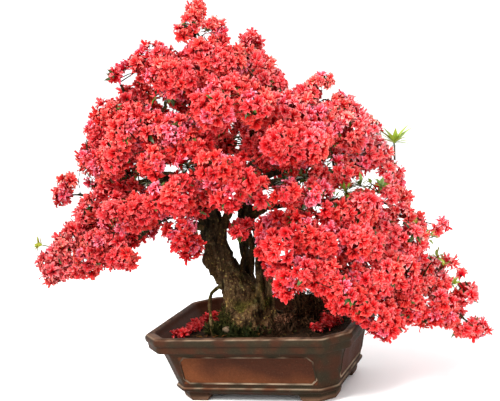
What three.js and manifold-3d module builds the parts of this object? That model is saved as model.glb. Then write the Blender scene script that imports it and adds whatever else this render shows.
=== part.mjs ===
// Azalea bonsai in full bloom, grown in a rectangular pot with cut corners.
// Millimetres, +Z up, the pot's long side along X.
import * as THREE from 'three';
import { mergeVertices } from 'three/addons/utils/BufferGeometryUtils.js';
import Module from 'manifold-3d';

const wasm = await Module();
wasm.setup();
const { Manifold, Mesh: SolidMesh } = wasm;

// Driving dimensions of the pot
const POT_LENGTH = 600;
const POT_DEPTH = 450;
const POT_HEIGHT = 200;
const CORNER_CUT = 60;
const WALL = 20;
const LIP_HEIGHT = 22;
const FOOT_HEIGHT = 18;
const FOOT_CUT = 36;
const FOOT_DEPTH = 34;
const FOOT_CHAMFER = 8;
const FLOOR_TOP = 42;
const BODY_TOP = 152;
const BODY_TOP_INSET = 36;
const BODY_BOTTOM = 42;
const BODY_BOTTOM_INSET = 64;
const DRAIN_RADIUS = 20;
const DRAIN_SPACING = 240;
const SCREEN_SIZE = 64;
const SCREEN_THICK = 1.6;
const SCREEN_OPENINGS = 2;
const OPENING_SHARE = 0.66;
const FRAME_WIDTH = 7;
const FRAME_PROUD = 2.5;
const FRAME_SUNK = 6;
const FRAME_NOTCH = 14;
const FRAME_MARGIN = 13;
const FRAME_END_MARGIN = 58;

// Driving dimensions of the soil and of what lies on it
const SOIL_EDGE = 158;
const SOIL_RISE = 34;
const MOUND_RADIUS = 150;
const RIPPLE = { height: 2.2, long: 31, deep: 27 };
const SOIL_CLEAR = 0.7;
const GAP = 0.3;
const FALLEN_SIZE = { radius: 21, rise: 16, mat: 26, lift: 11 };

// The tree is laid out in a frame of its own, turned about the pot's upright axis.
// Its places are [right, toward, up], seen from the side that the tree faces.
const TREE_TURN = THREE.MathUtils.degToRad(21.5);
const TWIG_TIP = 3.2;
const TWIG_BASE = 6;
const TWIG_SHORTEST = 12;
const BARE_TRUNK = 420;
const LEAF_OPENING = [62, 34];

// Driving dimensions of the blossom, larger than life so that it closes the crown
const CLOUD_SWELL = 1.2;
const CORE_SHARE = 0.46;
const BLOOM_SHARE = 1;
const RIM_SHARE = 1.05;
const THROAT_SHARE = 0.45;
const NOTCH_SHARE = 0.66;
const SEGMENT_SHARE = 1.1;
const END_SHARE = 0.34;
const END_RADIUS_SHARE = 0.8;
const BLOOM_SCALES = [1.1, 0.95, 0.8, 0.65];
const BLOOM_WOBBLE = 0.2;
const FACING = -0.45;
const CROWN_HEART = [-20, -20, 520];
const PETALS = 5;

// The trunk and the limbs, from root to tip: places, with a radius at each end
const LIMBS = {
  trunk: {
    at: [[-30, 15, 95], [-36, 18, 180], [-44, 16, 225], [-58, 10, 265], [-80, 0, 320], [-98, 0, 380],
      [-112, 0, 430], [-118, 0, 480], [-118, -5, 535], [-115, 0, 605], [-112, 0, 690], [-98, 0, 770],
      [-100, 0, 850], [-100, 5, 935], [-92, 0, 1030]],
    radii: [88, 80, 60, 46, 38, 34, 35, 33, 29, 26, 21, 17, 13, 9, 4],
    sides: 9, gnarl: 0.2, steps: 17,
  },
  second_trunk: {
    at: [[0, -25, 120], [-8, -35, 195], [-24, -48, 262], [-32, -54, 312], [-31, -58, 351],
      [-33, -60, 400], [-30, -60, 445], [-12, -60, 526], [16, -60, 609], [43, -50, 692], [62, -40, 775],
      [80, -20, 850]],
    radii: [40, 34, 24, 15, 12, 17, 20, 18, 15, 12, 9, 5], sides: 6, gnarl: 0.18, steps: 14,
  },
  stem_left: {
    at: [[-3, 52, 150], [-3, 50, 195], [-5, 45, 255], [2, 30, 360], [8, 5, 420], [-8, -50, 490]],
    radii: [15, 14, 11, 11, 10, 8], sides: 5, gnarl: 0.08, steps: 7,
  },
  stem_right: {
    at: [[22, 30, 150], [22, 30, 190], [24, 28, 255], [27, 20, 320], [32, 25, 385], [64, 100, 440],
      [110, 170, 430]],
    radii: [19, 18, 15, 14, 12, 9, 6], sides: 5, gnarl: 0.08, steps: 8,
  },
  root_arch: {
    at: [[-64, 8, 318], [-92, 15, 311], [-115, 20, 303], [-137, 26, 290], [-146, 32, 268],
      [-148, 40, 232], [-150, 48, 150]],
    radii: [9, 7.5, 6.5, 6, 6, 6, 5], sides: 5, gnarl: 0.1, steps: 8,
  },
  low_left: {
    at: [[-105, 0, 470], [-150, 20, 520], [-209, 40, 528], [-280, 60, 507], [-370, 80, 440],
      [-455, 75, 415], [-550, 60, 430]],
    radii: [18, 15, 12, 10, 8, 6, 3], sides: 5, gnarl: 0.1, steps: 8,
  },
  mid_left: {
    at: [[-118, -5, 545], [-174, -30, 605], [-243, -30, 622], [-328, -15, 610], [-412, 0, 598],
      [-505, 0, 612]],
    radii: [16, 13, 11, 9, 7, 3], sides: 5, gnarl: 0.1, steps: 6,
  },
  high_left: {
    at: [[-112, 0, 690], [-180, -5, 766], [-243, -20, 815], [-300, -40, 850], [-320, -5, 915]],
    radii: [13, 11, 9, 7, 3], sides: 5, gnarl: 0.1, steps: 6,
  },
  high_right: {
    at: [[12, -60, 600], [87, -40, 662], [163, -20, 723], [205, -20, 775], [228, -20, 830]],
    radii: [13, 11, 9, 7, 4], sides: 5, gnarl: 0.1, steps: 6,
  },
  mid_right: {
    at: [[-6, -60, 550], [60, -50, 568], [140, -10, 576], [230, 0, 578], [330, 0, 600], [400, -10, 590],
      [420, -20, 650]],
    radii: [15, 13, 11, 9, 7, 5, 3], sides: 5, gnarl: 0.1, steps: 6,
  },
  low_right: {
    at: [[-22, -55, 460], [70, 60, 440], [198, 120, 390], [329, 110, 340], [464, 75, 250], [545, 60, 145],
      [590, 60, 105]],
    radii: [16, 13, 11, 9, 7, 5, 3], sides: 5, gnarl: 0.1, steps: 8,
  },
  outer_right: {
    at: [[-18, -62, 492], [60, -40, 505], [137, 0, 508], [301, 30, 503], [400, 5, 470],
      [470, 0, 415], [520, 0, 400]],
    radii: [13, 11, 10, 8, 6, 4, 2.5], sides: 5, gnarl: 0.1, steps: 8,
  },
  front: {
    at: [[-112, 0, 490], [-108, 90, 545], [-90, 180, 585], [-60, 240, 610]],
    radii: [15, 12, 9, 5], sides: 5, gnarl: 0.1, steps: 4,
  },
  back_left: {
    at: [[-118, -5, 560], [-150, -90, 590], [-210, -170, 610], [-290, -220, 620]],
    radii: [16, 13, 9, 5], sides: 5, gnarl: 0.1, steps: 4,
  },
  back_right: {
    at: [[-8, -65, 545], [40, -150, 570], [120, -210, 580], [210, -220, 580]],
    radii: [15, 12, 9, 5], sides: 5, gnarl: 0.1, steps: 4,
  },
  back_top: {
    at: [[-100, 0, 700], [-80, -110, 730], [-60, -210, 720], [-50, -280, 670]],
    radii: [13, 11, 8, 4], sides: 5, gnarl: 0.1, steps: 5,
  },
};

// Surface roots: the way each one leaves the trunk, its length and its thickness
const ROOTS = [
  { turn: 10, reach: 135, radius: 17 }, { turn: 62, reach: 110, radius: 14 },
  { turn: 112, reach: 120, radius: 15 }, { turn: 158, reach: 125, radius: 16 },
  { turn: 205, reach: 140, radius: 17 }, { turn: 238, reach: 120, radius: 15 },
  { turn: 282, reach: 125, radius: 17 }, { turn: 325, reach: 140, radius: 18 },
];
const ROOT_CENTRE = [-22, 8];

// The blossom clouds: round heads of [right, toward, up, radius] that run into each other
const CLOUDS = {
  apex: [[-131, 10, 1012, 22], [-98, 0, 1041, 27], [-82, 0, 1075, 26]],
  crown_top: [[-41, 20, 1010, 33], [-66, 60, 953, 50], [-14, 60, 920, 50]],
  crest_right: [[52, -40, 963, 37], [50, -35, 915, 38], [75, -5, 870, 42], [128, 0, 852, 42]],
  shoulder_left: [[-165, -30, 935, 38], [-206, -30, 965, 38], [-256, -30, 945, 38], [-304, -5, 933, 25],
    [-337, 0, 917, 22]],
  upper_left: [[-184, 90, 904, 46], [-122, 90, 886, 46]],
  crown_front: [[42, 165, 800, 51], [-8, 148, 842, 50], [-62, 190, 812, 54], [-76, 130, 768, 42]],
  left_high: [[-271, -60, 855, 37], [-329, -55, 859, 37], [-365, -10, 822, 37], [-401, -10, 781, 36]],
  left_front: [[-232, 110, 772, 48], [-287, 108, 788, 48], [-325, 80, 732, 47], [-368, 60, 680, 45]],
  mid_front: [[-165, 150, 757, 47], [-118, 150, 712, 47], [-150, 178, 652, 40]],
  left_rim: [[-440, -70, 702, 42], [-425, -80, 645, 38]],
  bunch_left: [[-499, 0, 640, 23], [-522, 0, 603, 21]],
  ball_left: [[-212, 128, 712, 34], [-235, 170, 676, 38]],
  ball_centre: [[-85, 270, 661, 43], [-23, 270, 633, 43], [-56, 270, 585, 42]],
  ball_centre_left: [[-184, 245, 612, 46], [-232, 238, 590, 40]],
  left_low_rear: [[-455, 20, 568, 42], [-505, 20, 517, 38]],
  left_low_middle: [[-356, 130, 556, 48], [-281, 130, 555, 48]],
  left_low_front: [[-452, 100, 455, 43], [-393, 100, 487, 43], [-352, 138, 440, 36]],
  left_tip: [[-600, 60, 462, 20], [-570, 60, 450, 38], [-525, 60, 452, 44]],
  trunk_bunch: [[-196, 120, 502, 40], [-172, 120, 450, 40]],
  horn: [[238, -20, 840, 33], [190, -20, 812, 34]],
  shoulder_right: [[283, -20, 770, 42], [338, -30, 738, 28], [372, -30, 695, 27]],
  right_high: [[115, 100, 773, 48], [172, 100, 750, 48], [239, 60, 717, 48], [293, 60, 692, 48]],
  ball_right_front: [[99, 220, 703, 51], [172, 220, 697, 51]],
  right_wing: [[336, 0, 634, 38], [380, 0, 628, 38], [405, -5, 584, 36], [430, -28, 540, 33],
    [444, -38, 494, 28]],
  right_inner: [[235, 50, 596, 38], [280, 50, 565, 38]],
  centre_low: [[34, 200, 586, 37], [90, 200, 572, 37]],
  right_belly: [[170, 170, 549, 43], [222, 145, 487, 48], [304, 140, 499, 48]],
  right_rim_low: [[402, 22, 446, 33], [457, 4, 424, 33], [492, 0, 388, 22], [526, 0, 403, 20]],
  hang_centre: [[34, 150, 494, 38], [101, 148, 510, 40]],
  inner_front: [[23, 110, 738, 42], [28, 118, 677, 42], [-12, 98, 642, 36]],
  low_front: [[66, 225, 432, 52], [118, 205, 455, 50], [170, 205, 424, 48]],
  low_middle: [[258, 190, 420, 50], [305, 165, 388, 42]],
  low_right: [[353, 90, 412, 45], [412, 90, 392, 46], [445, 60, 360, 42], [475, 30, 330, 40],
    [502, 30, 280, 39]],
  skirt_front: [[59, 255, 337, 38], [105, 250, 366, 43], [155, 240, 346, 45], [195, 240, 305, 43],
    [246, 230, 255, 41], [311, 220, 180, 45]],
  skirt_right: [[228, 155, 350, 38], [296, 170, 305, 48], [360, 165, 318, 50], [387, 130, 258, 44],
    [400, 130, 197, 40]],
  skirt_far: [[487, 90, 204, 41], [444, 90, 152, 38]],
  tip_high: [[572, 0, 258, 21], [579, 20, 195, 36]],
  tip_low: [[541, 60, 112, 34], [598, 60, 106, 34]],
  back_crest: [[-120, -95, 955, 48], [-50, -110, 930, 52], [10, -125, 885, 52]],
  back_high_left: [[-335, -150, 770, 48], [-265, -185, 795, 54], [-190, -175, 840, 54],
    [-120, -185, 805, 54]],
  back_high_right: [[-25, -225, 785, 55], [60, -195, 790, 55], [140, -180, 780, 55],
    [215, -150, 735, 50]],
  back_left: [[-400, -185, 620, 48], [-330, -235, 655, 55], [-255, -265, 640, 57], [-280, -250, 560, 52]],
  back_middle: [[-150, -285, 700, 55], [-75, -315, 655, 58], [0, -315, 625, 57], [55, -300, 560, 54]],
  back_right: [[300, -160, 600, 50], [222, -230, 600, 56], [150, -268, 580, 55], [135, -262, 508, 50]],
  back_low_right: [[290, -170, 480, 52], [350, -130, 450, 50], [376, -112, 385, 46]],
  back_low_left: [[-440, -110, 490, 44], [-365, -150, 472, 46], [-300, -185, 458, 44]],
};

// Leafy shoots: where each one stands, the way it points, and its leaves
const SHOOTS = {
  leaves_right_shoot: { from: [420, -20, 648], way: [0.1, 0, 1], leaves: 6, long: 46, stem: 22 },
  leaves_left_tip: { from: [-545, 60, 492], way: [-0.9, 0, 0.7], leaves: 5, long: 30, stem: 40 },
  leaves_right_inner: { from: [352, 60, 520], way: [0.3, 0.4, 1], leaves: 5, long: 38, stem: 24 },
  leaves_right_low: { from: [528, 45, 225], way: [0.2, 0.5, 0.9], leaves: 5, long: 32, stem: 20 },
};

// What lies on the soil, in the tree's frame
const MOSS = {
  moss_left: [[-142, 8, 24], [-116, 54, 26], [-78, 90, 26], [-46, 112, 24]],
  moss_right: [[14, 124, 22], [44, 106, 24], [74, 84, 21]],
};
const FALLEN = {
  fallen_left: { from: [-218, -40], to: [-150, -158], count: 5 },
  fallen_right: { from: [120, 60], to: [165, 20], count: 3 },
};
const PEBBLE = { at: [-62, 142], size: [15, 11, 8] };

// Colours and finishes
const FINISH = {
  pot: { color: 0x4a3026, roughness: 0.5 },
  screen: { color: 0x1e2020, roughness: 0.8 },
  soil: { color: 0x241811, roughness: 1 },
  wood: { color: 0x3f3022, roughness: 0.95 },
  blossom: { color: 0xe33c45, roughness: 0.7 },
  leaf: { color: 0x8ab02e, roughness: 0.6 },
  moss: { color: 0x2d3a16, roughness: 1 },
  stone: { color: 0x8a7a66, roughness: 0.9 },
};

// A small seeded generator, so that the same tree grows every time
function seeded(seed) {
  let state = seed >>> 0;
  return () => {
    state = (state + 0x6d2b79f5) >>> 0;
    let mixed = Math.imul(state ^ (state >>> 15), 1 | state);
    mixed = (mixed + Math.imul(mixed ^ (mixed >>> 7), 61 | mixed)) ^ mixed;
    return ((mixed ^ (mixed >>> 14)) >>> 0) / 4294967296;
  };
}

function seedOf(name) {
  return [...name].reduce((sum, letter) => (Math.imul(sum, 31) + letter.charCodeAt(0)) >>> 0, 7);
}

// Solids and meshes
function solidFrom(points, triangles) {
  return new Manifold(new SolidMesh({
    numProp: 3,
    vertProperties: Float32Array.from(points.flat()),
    triVerts: Uint32Array.from(triangles.flat()),
  }));
}

function solidOf(geometry) {
  const bare = geometry.clone();
  bare.deleteAttribute('normal');
  bare.deleteAttribute('uv');
  const merged = mergeVertices(bare, 1e-4);
  return new Manifold(new SolidMesh({
    numProp: 3,
    vertProperties: Float32Array.from(merged.attributes.position.array),
    triVerts: Uint32Array.from(merged.index.array),
  }));
}

function largest(solid) {
  return solid.decompose().sort((one, other) => other.volume() - one.volume())[0];
}

function meshOf(name, solid, finish) {
  const data = solid.getMesh();
  const geometry = new THREE.BufferGeometry();
  geometry.setAttribute('position', new THREE.BufferAttribute(Float32Array.from(data.vertProperties), 3));
  geometry.setIndex(new THREE.BufferAttribute(Uint32Array.from(data.triVerts), 1));
  geometry.computeVertexNormals();
  const material = new THREE.MeshStandardMaterial({ metalness: 0, ...finish });
  const mesh = new THREE.Mesh(geometry, material);
  mesh.name = name;
  return mesh;
}

// Rings of points joined into one closed body, with a fan over each end
function loft(rings) {
  const around = rings[0].length;
  const points = rings.flat();
  const triangles = [];
  for (let ring = 0; ring < rings.length - 1; ring += 1) {
    for (let side = 0; side < around; side += 1) {
      const next = (side + 1) % around;
      const low = ring * around;
      const high = low + around;
      triangles.push([low + side, low + next, high + next], [low + side, high + next, high + side]);
    }
  }
  const last = (rings.length - 1) * around;
  for (let side = 1; side < around - 1; side += 1) {
    triangles.push([0, side + 1, side], [last, last + side, last + side + 1]);
  }
  return solidFrom(points, triangles);
}

// From the tree's frame to the pot's
function place([right, toward, up]) {
  const cos = Math.cos(TREE_TURN);
  const sin = Math.sin(TREE_TURN);
  return new THREE.Vector3(right * cos + toward * sin, right * sin - toward * cos, up);
}

// The pot
function outline(inset, cut, height) {
  const x = POT_LENGTH / 2 - inset;
  const y = POT_DEPTH / 2 - inset;
  return [
    [x, -y + cut, height], [x, y - cut, height], [x - cut, y, height], [-x + cut, y, height],
    [-x, y - cut, height], [-x, -y + cut, height], [-x + cut, -y, height], [x - cut, -y, height],
  ];
}

// The outside, from the foot ledge up to the lip, as rows of height, inset and corner cut
function potOuter() {
  const lip = POT_HEIGHT - LIP_HEIGHT;
  const profile = [
    [FOOT_HEIGHT, 80, 36], [FOOT_HEIGHT + 10, 70, 36], [FOOT_HEIGHT + 16, 60, 38],
    [BODY_BOTTOM, 60, 38], [BODY_BOTTOM + 3, BODY_BOTTOM_INSET, 38],
    [BODY_TOP, BODY_TOP_INSET, 44], [BODY_TOP + 3, 22, 50], [BODY_TOP + 6, 8, 56],
    [lip, 6, 57], [lip + 3, 0, CORNER_CUT], [POT_HEIGHT - 6, 0, CORNER_CUT], [POT_HEIGHT, 7, 57],
  ];
  return loft(profile.map(([height, inset, cut]) => outline(inset, cut, height)));
}

function innerRings(grow) {
  return [
    [FLOOR_TOP, BODY_BOTTOM_INSET + WALL, 34], [BODY_TOP, BODY_TOP_INSET + WALL, 40],
    [POT_HEIGHT + 6, WALL + 8, 50],
  ].map(([height, inset, cut]) => outline(inset - grow, cut, height));
}

// A thin raised frame with cut corners on one face of the pot's body
function panelFrame(width, height, notch) {
  const ring = (inset) => {
    const x = width / 2 - inset;
    const y = height / 2 - inset;
    return [
      [x, -y + notch], [x, y - notch], [x - notch, y], [-x + notch, y],
      [-x, y - notch], [-x, -y + notch], [-x + notch, -y], [x - notch, -y],
    ].map(([a, b]) => new THREE.Vector2(a, b));
  };
  const shape = new THREE.Shape(ring(0));
  shape.holes.push(new THREE.Path(ring(FRAME_WIDTH).reverse()));
  return new THREE.ExtrudeGeometry(shape, { depth: FRAME_PROUD + FRAME_SUNK, bevelEnabled: false });
}

function potFrames() {
  const slope = Math.atan2(BODY_BOTTOM_INSET - BODY_TOP_INSET, BODY_TOP - BODY_BOTTOM);
  const middle = (BODY_TOP + BODY_BOTTOM) / 2;
  const inset = (BODY_TOP_INSET + BODY_BOTTOM_INSET) / 2;
  const high = BODY_TOP - BODY_BOTTOM - 2 * FRAME_MARGIN;
  const front = { out: POT_DEPTH / 2 - inset, wide: POT_LENGTH - 2 * inset - 2 * FRAME_END_MARGIN };
  const end = { out: POT_LENGTH / 2 - inset, wide: POT_DEPTH - 2 * inset - 2 * FRAME_END_MARGIN };
  const faces = [
    { turn: 0, ...front },
    { turn: 180, ...front },
    { turn: 90, ...end },
    { turn: 270, ...end },
  ];
  return faces.map(({ turn, out, wide }) => {
    const frame = panelFrame(wide, high, FRAME_NOTCH);
    frame.translate(0, 0, -FRAME_SUNK);
    frame.rotateX(Math.PI / 2 + slope);
    frame.translate(0, -out, middle);
    frame.rotateZ(THREE.MathUtils.degToRad(turn));
    return solidOf(frame);
  });
}

// A bracket foot that follows one cut corner and narrows towards the ground
function potFoot(sideX, sideY) {
  const plan = (inset, reach, height) => {
    const x = POT_LENGTH / 2 - inset;
    const y = POT_DEPTH / 2 - inset;
    const far = FOOT_CUT + reach;
    const near = FOOT_CUT + FOOT_CHAMFER;
    return [
      [x, y - FOOT_CUT], [x - FOOT_CUT, y], [x - far, y], [x - far, y - FOOT_DEPTH],
      [x - near, y - FOOT_DEPTH], [x - FOOT_DEPTH, y - near], [x - FOOT_DEPTH, y - far], [x, y - far],
    ].map(([a, b]) => [a * sideX, b * sideY, height]);
  };
  const rings = [plan(78, 46, 0), plan(74, 58, FOOT_HEIGHT + 4)];
  return loft(sideX * sideY > 0 ? rings : rings.map((ring) => ring.reverse()));
}

function drainHoles() {
  return [-1, 1].map((side) => {
    const bore = new THREE.CylinderGeometry(DRAIN_RADIUS, DRAIN_RADIUS, 2 * FLOOR_TOP, 16);
    bore.rotateX(Math.PI / 2);
    bore.translate(side * DRAIN_SPACING / 2, 0, FLOOR_TOP / 2);
    return solidOf(bore);
  });
}

function potSolid() {
  const feet = [[1, 1], [1, -1], [-1, 1], [-1, -1]].map(([x, y]) => potFoot(x, y));
  const body = Manifold.union([potOuter(), ...potFrames(), ...feet]);
  return drainHoles().reduce((rest, hole) => rest.subtract(hole), body.subtract(loft(innerRings(0))));
}

// A square of drainage mesh over one hole
function screenSolid(side) {
  const sheet = new THREE.BoxGeometry(SCREEN_SIZE, SCREEN_SIZE, SCREEN_THICK);
  const middle = new THREE.Vector3(side * DRAIN_SPACING / 2, 0, FLOOR_TOP + GAP + SCREEN_THICK / 2);
  sheet.translate(middle.x, middle.y, middle.z);
  let screen = solidOf(sheet);
  const pitch = SCREEN_SIZE / (SCREEN_OPENINGS + 0.5);
  const offset = (index) => (index - (SCREEN_OPENINGS - 1) / 2) * pitch;
  for (let row = 0; row < SCREEN_OPENINGS; row += 1) {
    for (let column = 0; column < SCREEN_OPENINGS; column += 1) {
      const width = pitch * OPENING_SHARE;
      const opening = new THREE.BoxGeometry(width, width, SCREEN_THICK * 3);
      opening.translate(middle.x + offset(column), middle.y + offset(row), middle.z);
      screen = screen.subtract(solidOf(opening));
    }
  }
  return screen;
}

// The soil, level at the wall and heaped up to the roots
function soilHeight(x, y) {
  const centre = place([ROOT_CENTRE[0], ROOT_CENTRE[1], 0]);
  const away = Math.hypot(x - centre.x, y - centre.y) / MOUND_RADIUS;
  const ripple = RIPPLE.height * Math.sin(x / RIPPLE.long) * Math.cos(y / RIPPLE.deep);
  return SOIL_EDGE + SOIL_RISE * Math.exp(-away * away) + ripple;
}

function soilSolid(raise) {
  const blend = (SOIL_EDGE - FLOOR_TOP) / (BODY_TOP - FLOOR_TOP);
  const inset = THREE.MathUtils.lerp(BODY_BOTTOM_INSET, BODY_TOP_INSET, blend) + WALL + SOIL_CLEAR;
  const corners = outline(inset, 40, 0);
  const rim = corners.flatMap((corner, index) => {
    const next = corners[(index + 1) % corners.length];
    return [corner, [(corner[0] + next[0]) / 2, (corner[1] + next[1]) / 2]];
  });
  const surface = (share) => rim.map(([rimX, rimY]) => {
    const x = rimX * share;
    const y = rimY * share;
    return [x, y, soilHeight(x, y) + raise];
  });
  const bottom = BODY_BOTTOM_INSET + WALL + SOIL_CLEAR;
  const narrowX = (POT_LENGTH / 2 - bottom) / (POT_LENGTH / 2 - inset);
  const narrowY = (POT_DEPTH / 2 - bottom) / (POT_DEPTH / 2 - inset);
  const base = rim.map(([x, y]) => [x * narrowX, y * narrowY, FLOOR_TOP + GAP]);
  return loft([base, ...[1, 0.78, 0.56, 0.36, 0.14].map(surface)]);
}

// The value at a share, from 0 to 1, of the way along a list
function valueAt(values, share) {
  const exact = share * (values.length - 1);
  const index = Math.min(Math.floor(exact), values.length - 2);
  return THREE.MathUtils.lerp(values[index], values[index + 1], exact - index);
}

// Wood: tapered and knotted, each limb sunk into the one that bears it
function limbSolid({ at, radii, sides, gnarl, steps }, name, grow) {
  const random = seeded(seedOf(name));
  const curve = new THREE.CatmullRomCurve3(at.map(place), false, 'centripetal');
  const frames = curve.computeFrenetFrames(steps, false);
  const rings = [];
  for (let step = 0; step <= steps; step += 1) {
    const t = step / steps;
    const middle = curve.getPoint(t);
    const tangent = curve.getTangent(t);
    if (step === 0) middle.addScaledVector(tangent, -grow);
    if (step === steps) middle.addScaledVector(tangent, grow);
    const side = frames.normals[step].clone();
    side.addScaledVector(tangent, -side.dot(tangent)).normalize();
    const across = new THREE.Vector3().crossVectors(tangent, side);
    const ring = [];
    for (let corner = 0; corner < sides; corner += 1) {
      const angle = (corner / sides) * 2 * Math.PI;
      const radius = valueAt(radii, t) * (1 + gnarl * (random() - 0.5) * 2) + grow;
      const point = middle.clone().addScaledVector(side, Math.cos(angle) * radius)
        .addScaledVector(across, Math.sin(angle) * radius);
      ring.push(point.toArray());
    }
    rings.push(ring);
  }
  return loft(rings);
}

function rootLimb({ turn, reach, radius }) {
  const angle = THREE.MathUtils.degToRad(turn);
  const along = (share, up) => [
    ROOT_CENTRE[0] + Math.cos(angle) * reach * share,
    ROOT_CENTRE[1] + Math.sin(angle) * reach * share,
    up,
  ];
  return {
    at: [along(0.1, 215), along(0.42, 196), along(0.72, 178), along(1, 150)],
    radii: [radius * 1.25, radius, radius * 0.8, radius * 0.35],
    sides: 5, gnarl: 0.15, steps: 3,
  };
}

// The point of the limbs that a twig best springs from: near, and below its cloud
function springPoint(target) {
  let best = null;
  const shares = Array.from({ length: 22 }, (_, index) => (index + 3) / 24);
  for (const [name, { at, radii }] of Object.entries(LIMBS)) {
    const spots = at.map((spot) => new THREE.Vector3(...spot));
    const curve = new THREE.CatmullRomCurve3(spots, false, 'centripetal');
    for (const share of shares) {
      const point = curve.getPoint(share);
      const low = name === 'trunk' && point.z < BARE_TRUNK;
      const away = point.distanceTo(target) + Math.max(0, point.z - target.z) * 0.8;
      if (!low && (best === null || away < best.away)) {
        best = { away, point, radius: valueAt(radii, share), along: curve.getTangent(share) };
      }
    }
  }
  return best;
}

function twigLimb(head) {
  const target = new THREE.Vector3(head[0], head[1], head[2]);
  const { point, along, away, radius } = springPoint(target);
  if (away < TWIG_SHORTEST) return null;
  const middle = point.clone().lerp(target, 0.5).addScaledVector(along, away * 0.12);
  middle.z += away * 0.06;
  return {
    at: [point, middle, target].map((spot) => spot.toArray()),
    radii: [Math.min(TWIG_BASE, radius * 0.6), (TWIG_TIP + TWIG_BASE) / 2, TWIG_TIP],
    sides: 3, gnarl: 0, steps: 3,
  };
}

function allLimbs() {
  const limbs = { ...LIMBS };
  ROOTS.forEach((root, index) => {
    limbs[`root_${index}`] = rootLimb(root);
  });
  const borne = { ...CLOUDS, ...SHOOTS };
  for (const [name, what] of Object.entries(borne)) {
    const twig = twigLimb(what.from ?? what[0]);
    if (twig) limbs[`twig_${name}`] = twig;
  }
  return limbs;
}

function woodSolid(grow) {
  return Manifold.union(Object.entries(allLimbs()).map(([name, limb]) => limbSolid(limb, name, grow)));
}

function meanOf(points) {
  const sum = points.reduce((total, point) => total.add(point), new THREE.Vector3());
  return sum.divideScalar(points.length);
}

// One open bloom with five petals, flaring from a base polygon: points and triangles.
// The base runs counterclockwise, seen from outside, and its corners come first.
function bloomOn(base, axis, rise, radius, random) {
  const foot = meanOf(base);
  const side = base[0].clone().sub(foot);
  side.addScaledVector(axis, -side.dot(axis)).normalize();
  const across = new THREE.Vector3().crossVectors(axis, side);
  const angleOf = (point) => {
    const away = point.clone().sub(foot);
    return Math.atan2(away.dot(across), away.dot(side));
  };
  const spin = random() * 2 * Math.PI;
  const points = [...base];
  const angles = [];
  for (let corner = 0; corner < PETALS * 2; corner += 1) {
    const tip = corner % 2 === 0;
    const angle = spin + (corner / (PETALS * 2)) * 2 * Math.PI;
    const reach = radius * (tip ? 0.94 + 0.12 * random() : NOTCH_SHARE);
    const lift = rise * (tip ? 0.9 + 0.2 * random() : 0.84);
    angles.push(angle);
    points.push(foot.clone().addScaledVector(side, Math.cos(angle) * reach)
      .addScaledVector(across, Math.sin(angle) * reach).addScaledVector(axis, lift));
  }
  points.push(foot.clone().addScaledVector(axis, rise * THROAT_SHARE));
  const rim = base.length;
  const throat = points.length - 1;
  const turnBetween = (one, other) => Math.abs(Math.atan2(Math.sin(one - other), Math.cos(one - other)));
  const holder = angles.map((angle) => {
    const gaps = base.map((corner) => turnBetween(angle, angleOf(corner)));
    return gaps.indexOf(Math.min(...gaps));
  });
  const count = base.length;
  const rounds = holder.reduce((sum, held, corner) => (
    sum + (holder[(corner + 1) % holder.length] - held + count) % count), 0);
  if (rounds !== count) return null;
  const triangles = [];
  for (let corner = 0; corner < angles.length; corner += 1) {
    const next = (corner + 1) % angles.length;
    triangles.push([throat, rim + corner, rim + next], [rim + corner, holder[corner], rim + next]);
    for (let held = holder[corner]; held !== holder[next]; held = (held + 1) % base.length) {
      triangles.push([held, (held + 1) % base.length, rim + next]);
    }
  }
  return { points, triangles };
}

// The same bloom closed with its own base, as a solid by itself
function bloomSolid(base, axis, rise, radius, random) {
  const bloom = bloomOn(base, axis, rise, radius, random);
  if (bloom === null) return null;
  const { points, triangles } = bloom;
  for (let corner = 1; corner < base.length - 1; corner += 1) {
    triangles.push([0, corner + 1, corner]);
  }
  return solidFrom(points.map((point) => point.toArray()), triangles);
}

const boxesMeet = (one, other, margin) => [0, 1, 2].every((axis) => (
  one.min[axis] < other.max[axis] + margin && other.min[axis] < one.max[axis] + margin));

function isClear(piece, neighbours) {
  const box = piece.boundingBox();
  return neighbours.every(({ solid, box: theirs }) => (
    !boxesMeet(box, theirs, GAP) || piece.minGap(solid, GAP * 2) > GAP));
}

function crosses(piece, others) {
  return others.some((other) => (
    boxesMeet(piece.boundingBox(), other.boundingBox(), 0) && piece.intersect(other).volume() > 0.002));
}

// The slim square core of a cloud, as rings across the line through its heads
function coreRings(heads) {
  const centres = heads.map(([right, toward, up]) => place([right, toward, up]));
  const radii = heads.map((head) => head[3] * CLOUD_SWELL);
  const first = centres[0];
  const last = centres[centres.length - 1];
  const firstRadius = radii[0];
  const lastRadius = radii[radii.length - 1];
  const leave = first.clone().sub(centres[1]).normalize();
  const arrive = last.clone().sub(centres[centres.length - 2]).normalize();
  const line = [
    first.clone().addScaledVector(leave, firstRadius * END_SHARE),
    ...centres,
    last.clone().addScaledVector(arrive, lastRadius * END_SHARE),
  ];
  const thick = [firstRadius * END_RADIUS_SHARE, ...radii, lastRadius * END_RADIUS_SHARE];
  const curve = new THREE.CatmullRomCurve3(line, false, 'centripetal');
  const meanRadius = radii.reduce((sum, radius) => sum + radius, 0) / radii.length;
  const steps = Math.max(1, Math.round(curve.getLength() / (meanRadius * SEGMENT_SHARE)));
  const frames = curve.computeFrenetFrames(steps, false);
  return Array.from({ length: steps + 1 }, (_, step) => {
    const share = step / steps;
    const radius = valueAt(thick, share);
    const middle = curve.getPoint(share);
    const ring = [0, 1, 2, 3].map((corner) => {
      const angle = ((corner + 0.5) / 4) * 2 * Math.PI;
      return middle.clone().addScaledVector(frames.normals[step], Math.cos(angle) * radius * CORE_SHARE)
        .addScaledVector(frames.binormals[step], Math.sin(angle) * radius * CORE_SHARE);
    });
    return { middle, radius, ring };
  });
}

function coreSolid(heads) {
  return loft(coreRings(heads).map(({ ring }) => ring.map((corner) => corner.toArray())));
}

const withBox = (solid) => ({ solid, box: solid.boundingBox() });

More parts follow.
